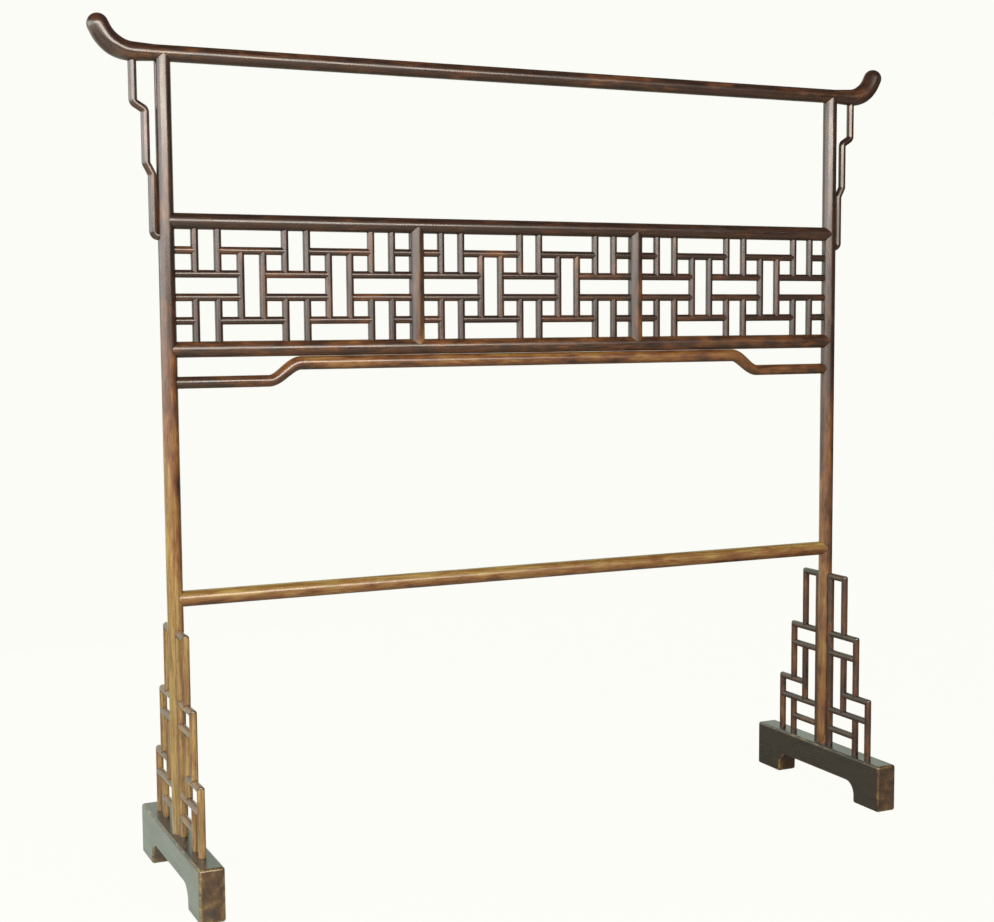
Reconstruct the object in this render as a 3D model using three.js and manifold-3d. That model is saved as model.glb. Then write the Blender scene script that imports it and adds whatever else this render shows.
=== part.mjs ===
// A wooden rack for hanging long robes. Two round posts stand on block feet and carry a crest rail
// with turned-up ends. A panel of three lattices, a humpback stretcher and a bottom stretcher tie
// the posts together, and stepped spandrels brace them. All members are round bars whose ends are
// scribed over their neighbours, with tenons in mortises.
// Millimetres. X runs along the rack, the front faces -Y, Z is up, and the floor is Z = 0.

import * as THREE from 'three';
import { mergeVertices } from 'three/addons/utils/BufferGeometryUtils.js';
import Module from 'manifold-3d';

const wasm = await Module();
wasm.setup();

// ---------------------------------------------------------------- sizes

const GAP = 0.3; // clearance between neighbours that are cut to fit each other

// Main members: distances between axes, and heights of axes above the floor
const POST_SPACING = 1600;
const CREST_HEIGHT = 1672.5;
const UPPER_RAIL_HEIGHT = 1347;
const STRETCHER_HEIGHT = 590.5;
const FRAME_DIAMETER = 32.5; // posts, crest rail, panel rails, stiles and bottom stretcher
const FRAME_TENON_WIDTH = 20;
const FRAME_TENON_THICKNESS = 12;
const FRAME_TENON_DEPTH = 20;
const STILE_TENON_DEPTH = 12;

// Crest rail ends
const CREST_OVERHANG = 57; // straight part beyond the post axis
const CREST_SWEEP_RADIUS = 68.5;
const CREST_SWEEP_ANGLE = THREE.MathUtils.degToRad(62.5);
const CREST_TIP_LENGTH = 12; // from the end of the sweep to the middle of the rounded end
const CREST_TIP_DIAMETER = 42.5;
const CREST_SWELL_START = 14; // beyond the post axis, and it ends halfway round the sweep

// Hanging spandrels, measured from the post axis and down from the crest rail axis
const HANGER_DIAMETER = 17;
const HANGER_OUTER_OFFSET = 59;
const HANGER_MIDDLE_OFFSET = 36.3;
const HANGER_FIRST_DROP = 104;
const HANGER_FIRST_FALL = 14; // height taken by the slanting part of the first step
const HANGER_SECOND_DROP = 225;
const HANGER_SECOND_FALL = 22;
const HANGER_END_DROP = 355.7;
const HANGER_BEND_RADIUS = 9.5;

// Lattice panels
const PANEL_COUNT = 3;
const PANEL_HEIGHT = 254.5; // between the axes of its rails
const LATTICE_MARGIN = 56.1; // frame axis to the first bar
const LATTICE_DIAMETER = 16;
const COLUMN_GAPS = 9; // ten columns of bars in a panel

// Humpback stretcher
const HUMP_DIAMETER = 24.5;
const HUMP_CROWN_DIAMETER = 28; // where it runs raised under the panel
const HUMP_RISE = 35.5;
const HUMP_LOW_LENGTH = 205; // from the post axis to the foot of the rise
const HUMP_RAMP_LENGTH = 68;

// Feet
const FOOT_LENGTH = 486;
const FOOT_WIDTH = 52;
const FOOT_HEIGHT = 108;
const FOOT_ARCH_LENGTH = 300;
const FOOT_ARCH_HEIGHT = 47;
const FOOT_ARCH_RADIUS = 30;
const FOOT_EDGE = 3.5; // softened edges
const POST_TENON_WIDTH = 22;
const POST_TENON_DEPTH = 46;

// Standing spandrels
const SPANDREL_DIAMETER = 15.5;
const SPANDREL_FIRST_ROW = 41; // above the foot
const SPANDREL_ROW_PITCH = 46.8;
const SPANDREL_FIRST_COLUMN = 77; // from the post axis
const SPANDREL_COLUMN_PITCH = 47;

// Small tenons on the ends of lattice and spandrel bars, as wide as one flat of a bar
const ROD_TENON_WIDTH = 5.8;
const ROD_TENON_DEPTH = 8;
const HUMP_TENON_DEPTH = 16;

const FRAME_SIDES = 16; // flats around a frame member
const BENT_SIDES = 12; // and around the humpback stretcher
const ROD_SIDES = 8;
const BEND_STEPS = 4;
const LONGEST_TURN = THREE.MathUtils.degToRad(30); // between two rings of a rounded corner

// ---------------------------------------------------------------- derived places

const FRAME_RADIUS = FRAME_DIAMETER / 2;
const CREST_TIP_RADIUS = CREST_TIP_DIAMETER / 2;
const CREST_SWELL_END = CREST_OVERHANG + (CREST_SWEEP_RADIUS * CREST_SWEEP_ANGLE) / 2;
const HUMP_RADIUS = HUMP_DIAMETER / 2;
const HUMP_CROWN_RADIUS = HUMP_CROWN_DIAMETER / 2;
const LATTICE_RADIUS = LATTICE_DIAMETER / 2;
const HANGER_RADIUS = HANGER_DIAMETER / 2;
const SPANDREL_RADIUS = SPANDREL_DIAMETER / 2;
const POST_X = POST_SPACING / 2;
const PANEL_WIDTH = POST_SPACING / PANEL_COUNT;
const LATTICE_PITCH = (PANEL_WIDTH - 2 * LATTICE_MARGIN) / COLUMN_GAPS;
const LOWER_RAIL_HEIGHT = UPPER_RAIL_HEIGHT - PANEL_HEIGHT;
const HUMP_TOP_HEIGHT = LOWER_RAIL_HEIGHT - FRAME_RADIUS - GAP - HUMP_CROWN_RADIUS;
const HUMP_END_HEIGHT = HUMP_TOP_HEIGHT - HUMP_RISE;
const HANGER_INNER_OFFSET = FRAME_RADIUS + GAP + HANGER_RADIUS;
const HANGER_END_HEIGHT = CREST_HEIGHT - HANGER_END_DROP;
const SPANDREL_STILE = FRAME_RADIUS + GAP + SPANDREL_RADIUS;
const ROOT = 4; // how far a tenon starts inside its own member

const X_AXIS = new THREE.Vector3(1, 0, 0);
const Y_AXIS = new THREE.Vector3(0, 1, 0);
const Z_AXIS = new THREE.Vector3(0, 0, 1);

const point = (x, y, z) => new THREE.Vector3(x, y, z);
const frameTenon = point(FRAME_TENON_WIDTH, FRAME_TENON_THICKNESS, FRAME_TENON_WIDTH);
const humpTenon = point(FRAME_TENON_THICKNESS, ROD_TENON_WIDTH, FRAME_TENON_THICKNESS);
const rodTenon = point(ROD_TENON_WIDTH, ROD_TENON_WIDTH, ROD_TENON_WIDTH);

// ---------------------------------------------------------------- solids

// Turns a geometry into a closed solid.
function toSolid(geometry) {
  const bare = new THREE.BufferGeometry();
  bare.setAttribute('position', geometry.getAttribute('position'));
  bare.setIndex(geometry.getIndex());
  const welded = mergeVertices(bare, 1e-4);
  const corners = Array.from(welded.getIndex().array);
  const kept = [];
  for (let i = 0; i < corners.length; i += 3) {
    const [a, b, c] = corners.slice(i, i + 3);
    if (a !== b && b !== c && c !== a) kept.push(a, b, c);
  }
  return new wasm.Manifold(new wasm.Mesh({
    numProp: 3,
    vertProperties: new Float32Array(welded.getAttribute('position').array),
    triVerts: new Uint32Array(kept),
  }));
}

// Turns a solid into a geometry with flat-shaded faces.
function toGeometry(solid) {
  const mesh = solid.getMesh();
  const geometry = new THREE.BufferGeometry();
  geometry.setAttribute('position', new THREE.BufferAttribute(new Float32Array(mesh.vertProperties), 3));
  geometry.setIndex(new THREE.BufferAttribute(new Uint32Array(mesh.triVerts), 1));
  const faceted = geometry.toNonIndexed();
  faceted.computeVertexNormals();
  return faceted;
}

// A straight bar whose flats lie at the given radius.
function bar(from, to, radius, sides) {
  const run = to.clone().sub(from);
  const rim = radius / Math.cos(Math.PI / sides);
  const half = Math.PI / sides;
  const shape = new THREE.CylinderGeometry(rim, rim, run.length(), sides, 1, false, half);
  const middle = from.clone().add(to).multiplyScalar(0.5);
  shape.applyQuaternion(new THREE.Quaternion().setFromUnitVectors(Y_AXIS, run.normalize()));
  shape.translate(middle.x, middle.y, middle.z);
  return toSolid(shape);
}

// The direction of a path at one of its places, and how much a section widens where it turns.
function headingAt(rings, here) {
  const runs = [];
  for (const start of [here - 1, here]) {
    const [from, to] = [rings[start], rings[start + 1]];
    if (from && to) runs.push(to.at.clone().sub(from.at).normalize());
  }
  const heading = runs.reduce((sum, run) => sum.add(run), point(0, 0, 0)).normalize();
  return { heading, widening: 1 / heading.dot(runs[0]) };
}

// One section of a bent bar: the place of its middle and its radius.
const ring = (at, radius) => ({ at, radius });

// A bar that runs through rings in the XZ plane. The rows of a unit cylinder are laid onto them.
function bentBar(rings, sides) {
  const last = rings.length - 1;
  const shape = new THREE.CylinderGeometry(1, 1, 1, sides, last, false, Math.PI / sides);
  const corners = shape.getAttribute('position');
  for (let i = 0; i < corners.count; i += 1) {
    const here = Math.round((0.5 - corners.getY(i)) * last);
    const { at, radius } = rings[here];
    const { heading, widening } = headingAt(rings, here);
    const rim = radius / Math.cos(Math.PI / sides);
    const outward = Y_AXIS.clone().cross(heading).multiplyScalar(corners.getX(i) * rim * widening);
    const corner = at.clone().add(outward).addScaledVector(Y_AXIS, corners.getZ(i) * rim);
    corners.setXYZ(i, corner.x, corner.y, corner.z);
  }
  return toSolid(shape);
}

// The other half of a symmetrical bent bar, in the order that leads to its middle.
const mirrored = (rings) => rings.map(({ at, radius }) => ring(point(-at.x, 0, at.z), radius)).reverse();

// Places along a line in the XZ plane that turns at corners, each rounded with the same radius.
function roundedLine(corners, bend) {
  const places = [corners[0]];
  for (let i = 1; i < corners.length - 1; i += 1) {
    const [before, at, after] = corners.slice(i - 1, i + 2);
    const arriving = at.clone().sub(before).normalize();
    const leaving = after.clone().sub(at).normalize();
    const turn = arriving.angleTo(leaving);
    const inward = leaving.clone().addScaledVector(arriving, -arriving.dot(leaving)).normalize();
    const start = at.clone().addScaledVector(arriving, -bend * Math.tan(turn / 2));
    const steps = Math.ceil(turn / LONGEST_TURN);
    for (let k = 0; k <= steps; k += 1) {
      const angle = (turn * k) / steps;
      const along = start.clone().addScaledVector(arriving, bend * Math.sin(angle));
      places.push(along.addScaledVector(inward, bend * (1 - Math.cos(angle))));
    }
  }
  places.push(corners[corners.length - 1]);
  return places;
}

// Rings of a smooth double bend from one ring to another. It sets out and arrives along X.
function doubleBend(from, to, steps) {
  const rings = [];
  for (let k = 0; k <= steps; k += 1) {
    const t = k / steps;
    const eased = t * t * (3 - 2 * t);
    const x = THREE.MathUtils.lerp(from.at.x, to.at.x, t);
    const z = THREE.MathUtils.lerp(from.at.z, to.at.z, eased);
    rings.push(ring(point(x, 0, z), THREE.MathUtils.lerp(from.radius, to.radius, eased)));
  }
  return rings;
}

// A block that lies along a member's end. `start` and `end` are measured back from `at`.
function block(at, along, start, end, size, margin) {
  const centre = at.clone().addScaledVector(along, -(start + end) / 2);
  const edge = (axis) => (along[axis] === 0 ? size[axis] + 2 * margin : end - start);
  const shape = new THREE.BoxGeometry(edge('x'), edge('y'), edge('z'));
  shape.translate(centre.x, centre.y, centre.z);
  return toSolid(shape);
}

// ---------------------------------------------------------------- joints

// Where a member ends against the side of a round one. `at` is where the two axes meet, `along`
// points the way the ending member runs and `across` is the axis of the other one.
function meeting(at, along, across, radius, sides, tenon, depth) {
  return { at, along, across, radius, sides, tenon, depth };
}

const frameMeeting = (at, along, across, depth = FRAME_TENON_DEPTH) =>
  meeting(at, along, across, FRAME_RADIUS, FRAME_SIDES, frameTenon, depth);
const rodInFrame = (at, along, across) =>
  meeting(at, along, across, FRAME_RADIUS, FRAME_SIDES, rodTenon, ROD_TENON_DEPTH);
const latticeMeeting = (at, along, across) =>
  meeting(at, along, across, LATTICE_RADIUS, ROD_SIDES, rodTenon, ROD_TENON_DEPTH);
const spandrelMeeting = (at, along, across) =>
  meeting(at, along, across, SPANDREL_RADIUS, ROD_SIDES, rodTenon, ROD_TENON_DEPTH);

const NEGATIVE_X = X_AXIS.clone().negate();
const NEGATIVE_Z = Z_AXIS.clone().negate();

// One piece of wood, or one glued-up frame of bars.
class Piece {
  constructor() {
    this.bars = [];
    this.hollows = [];
    this.tenons = [];
    this.mortises = [];
  }

  add(...solids) {
    this.bars.push(...solids);
    return this;
  }

  // The piece ends here: its end is hollowed over the other member and carries a tenon. `member`
  // stands for the other one where that isn't a plain round bar.
  endsIn({ at, along, across, radius, sides, tenon, depth }, member) {
    const reach = 3 * radius;
    const one = at.clone().addScaledVector(across, -reach);
    const other = at.clone().addScaledVector(across, reach);
    this.hollows.push(member ?? bar(one, other, radius + GAP, sides));
    this.tenons.push(block(at, along, radius - depth, radius + ROOT, tenon, 0));
    return this;
  }

  // The piece receives the tenon of another one in its side.
  receives({ at, along, radius, tenon, depth }) {
    this.mortises.push(block(at, along, radius - depth - GAP, radius + ROOT, tenon, GAP));
    return this;
  }

  // The piece stands on the flat top of a foot.
  standsOn(x, y, width, depth) {
    const at = point(x, y, FOOT_HEIGHT);
    this.tenons.push(block(at, NEGATIVE_Z, -depth, ROOT, point(width, width, 0), 0));
    return this;
  }

  geometry() {
    let body = this.bars.reduce((sum, next) => sum.add(next));
    for (const hollow of this.hollows) body = body.subtract(hollow);
    for (const tenon of this.tenons) body = body.add(tenon);
    for (const mortise of this.mortises) body = body.subtract(mortise);
    return toGeometry(body);
  }
}

// ---------------------------------------------------------------- main members

// Heights on the post at which a level member of the frame size meets it.
const RAIL_HEIGHTS = [UPPER_RAIL_HEIGHT, LOWER_RAIL_HEIGHT, STRETCHER_HEIGHT];
const LATTICE_ROWS = [-1.5, -0.5, 0.5, 1.5].map((row) => row * LATTICE_PITCH);
const PANEL_MIDDLE = (UPPER_RAIL_HEIGHT + LOWER_RAIL_HEIGHT) / 2;

const humpEnd = (x, along) =>
  meeting(point(x, 0, HUMP_END_HEIGHT), along, Z_AXIS, FRAME_RADIUS, FRAME_SIDES, humpTenon,
    HUMP_TENON_DEPTH);
const hangerEnd = (x, along) => rodInFrame(point(x, 0, HANGER_END_HEIGHT), along, Z_AXIS);

// The right post, on its own axis: the rack lies on its -X side.
function post() {
  const foot = point(0, 0, FOOT_HEIGHT);
  const top = point(0, 0, CREST_HEIGHT);
  const piece = new Piece().add(bar(foot, top, FRAME_RADIUS, FRAME_SIDES));
  piece.endsIn(frameMeeting(top, Z_AXIS, X_AXIS));
  piece.standsOn(0, 0, POST_TENON_WIDTH, POST_TENON_DEPTH);
  for (const height of RAIL_HEIGHTS) {
    piece.receives(frameMeeting(point(0, 0, height), X_AXIS, Z_AXIS));
  }
  for (const row of LATTICE_ROWS) {
    piece.receives(rodInFrame(point(0, 0, PANEL_MIDDLE + row), X_AXIS, Z_AXIS));
  }
  piece.receives(humpEnd(0, X_AXIS));
  piece.receives(hangerEnd(0, NEGATIVE_X));
  return piece.geometry();
}

// A straight level member between the two posts.
function levelMember(height) {
  const left = point(-POST_X, 0, height);
  const right = point(POST_X, 0, height);
  const piece = new Piece().add(bar(left, right, FRAME_RADIUS, FRAME_SIDES));
  piece.endsIn(frameMeeting(left, NEGATIVE_X, Z_AXIS));
  piece.endsIn(frameMeeting(right, X_AXIS, Z_AXIS));
  return piece;
}

// Places of the upright lattice bars that reach the rails, within one panel.
const RAIL_COLUMNS = [-4.5, -3.5, -0.5, 0.5, 3.5, 4.5].map((column) => column * LATTICE_PITCH);
const PANEL_CENTRES = [-PANEL_WIDTH, 0, PANEL_WIDTH];
const STILE_X = PANEL_WIDTH / 2;

// A rail of the panel. `along` points from the panel into the rail.
function panelRail(height, along) {
  const piece = levelMember(height);
  for (const centre of PANEL_CENTRES) {
    for (const column of RAIL_COLUMNS) {
      piece.receives(rodInFrame(point(centre + column, 0, height), along, X_AXIS));
    }
  }
  for (const x of [-STILE_X, STILE_X]) {
    piece.receives(frameMeeting(point(x, 0, height), along, X_AXIS, STILE_TENON_DEPTH));
  }
  return piece.geometry();
}

// A stile between two lattices, about its own middle.
function stile() {
  const top = point(0, 0, PANEL_HEIGHT / 2);
  const bottom = point(0, 0, -PANEL_HEIGHT / 2);
  const piece = new Piece().add(bar(bottom, top, FRAME_RADIUS, FRAME_SIDES));
  piece.endsIn(frameMeeting(top, Z_AXIS, X_AXIS, STILE_TENON_DEPTH));
  piece.endsIn(frameMeeting(bottom, NEGATIVE_Z, X_AXIS, STILE_TENON_DEPTH));
  for (const row of LATTICE_ROWS) {
    for (const along of [X_AXIS, NEGATIVE_X]) {
      piece.receives(rodInFrame(point(0, 0, row), along, Z_AXIS));
    }
  }
  return piece.geometry();
}

// The radius of the crest rail at a distance beyond the post axis, measured along its own axis.
function crestRadius(distance) {
  const share = (distance - CREST_SWELL_START) / (CREST_SWELL_END - CREST_SWELL_START);
  return THREE.MathUtils.lerp(FRAME_RADIUS, CREST_TIP_RADIUS, THREE.MathUtils.clamp(share, 0, 1));
}

// The rings of the crest rail beyond the right post, up to the rounded tip. `extra` is added to
// their radius.
function crestEnd(postX, extra) {
  const rings = [ring(point(postX + CREST_SWELL_START, 0, CREST_HEIGHT), FRAME_RADIUS + extra)];
  const centre = point(postX + CREST_OVERHANG, 0, CREST_HEIGHT + CREST_SWEEP_RADIUS);
  for (let k = 0; k <= BEND_STEPS; k += 1) {
    const angle = (CREST_SWEEP_ANGLE * k) / BEND_STEPS;
    const fromCentre = point(Math.sin(angle), 0, -Math.cos(angle)).multiplyScalar(CREST_SWEEP_RADIUS);
    const radius = crestRadius(CREST_OVERHANG + CREST_SWEEP_RADIUS * angle);
    rings.push(ring(fromCentre.add(centre), radius + extra));
  }
  const heading = point(Math.cos(CREST_SWEEP_ANGLE), 0, Math.sin(CREST_SWEEP_ANGLE));
  const dome = rings[rings.length - 1].at.clone().addScaledVector(heading, CREST_TIP_LENGTH);
  const radius = CREST_TIP_RADIUS + extra;
  for (let k = 0; k < BEND_STEPS; k += 1) {
    const angle = ((Math.PI / 2) * k) / BEND_STEPS;
    const at = dome.clone().addScaledVector(heading, radius * Math.sin(angle));
    rings.push(ring(at, radius * Math.cos(angle)));
  }
  rings.push(ring(dome.clone().addScaledVector(heading, radius), 0));
  return rings;
}

const hangerTop = (x) =>
  meeting(point(x, 0, CREST_HEIGHT), Z_AXIS, X_AXIS, crestRadius(HANGER_OUTER_OFFSET), FRAME_SIDES,
    rodTenon, ROD_TENON_DEPTH);

function crestRail() {
  const half = crestEnd(POST_X, 0);
  const piece = new Piece().add(bentBar([...mirrored(half), ...half], FRAME_SIDES));
  for (const side of [-1, 1]) {
    piece.receives(frameMeeting(point(side * POST_X, 0, CREST_HEIGHT), Z_AXIS, X_AXIS));
    piece.receives(hangerTop(side * (POST_X + HANGER_OUTER_OFFSET)));
  }
  return piece.geometry();
}

// The right hanging spandrel, from the axis of its post: one bent bar that steps in towards the
// post twice and ends in its side.
function hangingSpandrel() {
  const first = CREST_HEIGHT - HANGER_FIRST_DROP;
  const second = CREST_HEIGHT - HANGER_SECOND_DROP;
  const places = roundedLine([
    point(HANGER_OUTER_OFFSET, 0, CREST_HEIGHT),
    point(HANGER_OUTER_OFFSET, 0, first + HANGER_FIRST_FALL / 2),
    point(HANGER_MIDDLE_OFFSET, 0, first - HANGER_FIRST_FALL / 2),
    point(HANGER_MIDDLE_OFFSET, 0, second + HANGER_SECOND_FALL / 2),
    point(HANGER_INNER_OFFSET, 0, second - HANGER_SECOND_FALL / 2),
    point(HANGER_INNER_OFFSET, 0, HANGER_END_HEIGHT),
    point(0, 0, HANGER_END_HEIGHT),
  ], HANGER_BEND_RADIUS);
  const rings = places.map((at) => ring(at, HANGER_RADIUS));
  const piece = new Piece().add(bentBar(rings, ROD_SIDES));
  piece.endsIn(hangerTop(HANGER_OUTER_OFFSET), bentBar(crestEnd(0, GAP), FRAME_SIDES));
  piece.endsIn(hangerEnd(0, NEGATIVE_X));
  return piece.geometry();
}

// It is thickest where it runs raised, right under the panel.
function humpbackStretcher() {
  const end = ring(point(POST_X, 0, HUMP_END_HEIGHT), HUMP_RADIUS);
  const rampFoot = ring(point(POST_X - HUMP_LOW_LENGTH, 0, HUMP_END_HEIGHT), HUMP_RADIUS);
  const topX = POST_X - HUMP_LOW_LENGTH - HUMP_RAMP_LENGTH;
  const rampTop = ring(point(topX, 0, HUMP_TOP_HEIGHT), HUMP_CROWN_RADIUS);
  const half = [...doubleBend(rampTop, rampFoot, BEND_STEPS + 1), end];
  const piece = new Piece().add(bentBar([...mirrored(half), ...half], BENT_SIDES));
  piece.endsIn(humpEnd(-POST_X, NEGATIVE_X));
  piece.endsIn(humpEnd(POST_X, X_AXIS));
  return piece.geometry();
}

// ---------------------------------------------------------------- feet

// The side view of a foot: a block with an arch cut under it.
function footOutline() {
  const end = FOOT_LENGTH / 2;
  const arch = FOOT_ARCH_LENGTH / 2;
  const turn = arch - FOOT_ARCH_RADIUS;
  const spring = FOOT_ARCH_HEIGHT - FOOT_ARCH_RADIUS;
  const outline = new THREE.Shape();
  outline.moveTo(-end, FOOT_EDGE);
  outline.lineTo(-end + FOOT_EDGE, 0);
  outline.lineTo(-arch, 0);
  outline.lineTo(-arch, spring);
  outline.absarc(-turn, spring, FOOT_ARCH_RADIUS, Math.PI, Math.PI / 2, true);
  outline.absarc(turn, spring, FOOT_ARCH_RADIUS, Math.PI / 2, 0, true);
  outline.lineTo(arch, 0);
  outline.lineTo(end - FOOT_EDGE, 0);
  outline.lineTo(end, FOOT_EDGE);
  outline.lineTo(end, FOOT_HEIGHT - FOOT_EDGE);
  outline.lineTo(end - FOOT_EDGE, FOOT_HEIGHT);
  outline.lineTo(-end + FOOT_EDGE, FOOT_HEIGHT);
  outline.lineTo(-end, FOOT_HEIGHT - FOOT_EDGE);
  outline.closePath();
  return outline;
}

// A foot about the axis of its post.
function foot() {
  const shape = new THREE.ExtrudeGeometry(footOutline(), {
    depth: FOOT_WIDTH - 2 * FOOT_EDGE,
    curveSegments: 5,
    bevelEnabled: true,
    bevelSegments: 1,
    bevelThickness: FOOT_EDGE,
    bevelSize: FOOT_EDGE,
    bevelOffset: -FOOT_EDGE,
  });
  shape.translate(0, 0, -FOOT_WIDTH / 2 + FOOT_EDGE);
  shape.applyMatrix4(new THREE.Matrix4().makeBasis(Y_AXIS, Z_AXIS, X_AXIS));
  const piece = new Piece().add(toSolid(shape));
  const sink = (y, width, depth) => {
    const at = point(0, y, FOOT_HEIGHT);
    piece.mortises.push(block(at, NEGATIVE_Z, -depth - GAP, ROOT, point(width, width, 0), GAP));
  };
  sink(0, POST_TENON_WIDTH, POST_TENON_DEPTH);
  for (const column of [SPANDREL_STILE, spandrelColumn(2), spandrelColumn(3)]) {
    sink(-column, ROD_TENON_WIDTH, ROD_TENON_DEPTH);
    sink(column, ROD_TENON_WIDTH, ROD_TENON_DEPTH);
  }
  return piece.geometry();
}

// ---------------------------------------------------------------- standing spandrels

// Three columns step down from the post, and the rows between them are counted from the foot.
function spandrelColumn(number) {
  return SPANDREL_FIRST_COLUMN + (number - 1) * SPANDREL_COLUMN_PITCH;
}

function spandrelRow(number) {
  return FOOT_HEIGHT + SPANDREL_FIRST_ROW + (number - 1) * SPANDREL_ROW_PITCH;
}

// The front spandrel of a post lies in the plane X = 0 of the post axis.
const spandrelPoint = (column, height) => point(0, -column, height);

function spandrelBar(from, to) {
  return bar(spandrelPoint(...from), spandrelPoint(...to), SPANDREL_RADIUS, ROD_SIDES);
}

// The mitred corner of two bars.
function spandrelCorner(column, height) {
  const reach = SPANDREL_RADIUS;
  const level = spandrelBar([column - reach, height], [column + reach, height]);
  const upright = spandrelBar([column, height - reach], [column, height + reach]);
  return level.intersect(upright);
}

const intoStile = (height) =>
  spandrelMeeting(spandrelPoint(SPANDREL_STILE, height), Y_AXIS, Z_AXIS);
const ontoRow = (column, row) =>
  spandrelMeeting(spandrelPoint(column, spandrelRow(row)), NEGATIVE_Z, Y_AXIS);
const underRow = (column, row) =>
  spandrelMeeting(spandrelPoint(column, spandrelRow(row)), Z_AXIS, Y_AXIS);

const TOP_ROW = 9;
const SECOND_TIER_ROW = 6;
const SECOND_TIE_ROW = 5;
const THIRD_TIER_ROW = 3;
const THIRD_TIE_ROW = 2;
const BASE_ROW = 1;

// The tall narrow frame against the post.
function spandrelTopFrame() {
  const top = spandrelRow(TOP_ROW);
  const outer = spandrelColumn(1);
  const piece = new Piece().add(
    spandrelBar([SPANDREL_STILE, FOOT_HEIGHT], [SPANDREL_STILE, top]),
    spandrelBar([SPANDREL_STILE, top], [outer, top]),
    spandrelBar([outer, spandrelRow(SECOND_TIER_ROW)], [outer, top]),
    spandrelCorner(SPANDREL_STILE, top),
    spandrelCorner(outer, top),
  );
  piece.endsIn(ontoRow(outer, SECOND_TIER_ROW));
  piece.standsOn(0, -SPANDREL_STILE, ROD_TENON_WIDTH, ROD_TENON_DEPTH);
  for (const row of [SECOND_TIER_ROW, SECOND_TIE_ROW, THIRD_TIE_ROW, BASE_ROW]) {
    piece.receives(intoStile(spandrelRow(row)));
  }
  return piece.geometry();
}

// The second step.
function spandrelMiddleFrame() {
  const top = spandrelRow(SECOND_TIER_ROW);
  const tie = spandrelRow(SECOND_TIE_ROW);
  const outer = spandrelColumn(2);
  const piece = new Piece().add(
    spandrelBar([SPANDREL_STILE, top], [outer, top]),
    spandrelBar([SPANDREL_STILE, tie], [outer, tie]),
    spandrelBar([outer, spandrelRow(THIRD_TIER_ROW)], [outer, top]),
    spandrelCorner(outer, top),
  );
  piece.endsIn(intoStile(top)).endsIn(intoStile(tie));
  piece.endsIn(ontoRow(outer, THIRD_TIER_ROW));
  piece.receives(ontoRow(spandrelColumn(1), SECOND_TIER_ROW));
  piece.receives(underRow(spandrelColumn(1), SECOND_TIE_ROW));
  return piece.geometry();
}

// The third and lowest step.
function spandrelOuterFrame() {
  const top = spandrelRow(THIRD_TIER_ROW);
  const tie = spandrelRow(THIRD_TIE_ROW);
  const inner = spandrelColumn(1);
  const outer = spandrelColumn(3);
  const piece = new Piece().add(
    spandrelBar([inner, top], [outer, top]),
    spandrelBar([SPANDREL_STILE, tie], [outer, tie]),
    spandrelBar([outer, FOOT_HEIGHT], [outer, top]),
    spandrelBar([inner, tie], [inner, spandrelRow(SECOND_TIE_ROW)]),
    spandrelCorner(outer, top),
  );
  piece.endsIn(intoStile(tie));
  piece.endsIn(underRow(inner, SECOND_TIE_ROW));
  piece.standsOn(0, -outer, ROD_TENON_WIDTH, ROD_TENON_DEPTH);
  piece.receives(ontoRow(spandrelColumn(2), THIRD_TIER_ROW));
  piece.receives(underRow(spandrelColumn(2), THIRD_TIE_ROW));
  return piece.geometry();
}

// The short upright and rung next to the foot.
function spandrelBaseRung() {
  const rung = spandrelRow(BASE_ROW);
  const outer = spandrelColumn(2);
  const piece = new Piece().add(
    spandrelBar([outer, FOOT_HEIGHT], [outer, spandrelRow(THIRD_TIE_ROW)]),
    spandrelBar([SPANDREL_STILE, rung], [outer, rung]),
  );
  piece.endsIn(intoStile(rung));
  piece.endsIn(underRow(outer, THIRD_TIE_ROW));
  piece.standsOn(0, -outer, ROD_TENON_WIDTH, ROD_TENON_DEPTH);
  return piece.geometry();
}

// ---------------------------------------------------------------- lattice

// Bars lie on a square grid about the middle of a panel: columns at 0.5 to 4.5 pitches either
// side, rows at 0.5 and 1.5 pitches above and below.
const gridPoint = (column, row) => point(column * LATTICE_PITCH, 0, row * LATTICE_PITCH);
const FRAME_COLUMN = PANEL_WIDTH / 2 / LATTICE_PITCH;
const FRAME_ROW = PANEL_HEIGHT / 2 / LATTICE_PITCH;
const sideways = (sign) => (sign > 0 ? X_AXIS : NEGATIVE_X);
const upwards = (sign) => (sign > 0 ? Z_AXIS : NEGATIVE_Z);

function latticeBar(from, to) {
  return bar(gridPoint(...from), gridPoint(...to), LATTICE_RADIUS, ROD_SIDES);
}

// A ring of two long uprights between two level bars that overshoot them by one column.
function latticeRing(side) {
  const piece = new Piece().add(
    latticeBar([side * 1.5, -1.5], [side * 1.5, 1.5]),
    latticeBar([side * 2.5, -1.5], [side * 2.5, 1.5]),
  );
  for (const row of [-1.5, 1.5]) {
    piece.add(latticeBar([side * 0.5, row], [side * 3.5, row]));
    piece.endsIn(latticeMeeting(gridPoint(side * 0.5, row), sideways(-side), Z_AXIS));
    piece.endsIn(latticeMeeting(gridPoint(side * 3.5, row), sideways(side), Z_AXIS));
  }
  for (const row of [-0.5, 0.5]) {
    piece.receives(latticeMeeting(gridPoint(side * 1.5, row), sideways(side), Z_AXIS));
    piece.receives(latticeMeeting(gridPoint(side * 2.5, row), sideways(-side), Z_AXIS));
  }
  return piece.geometry();
}

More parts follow.
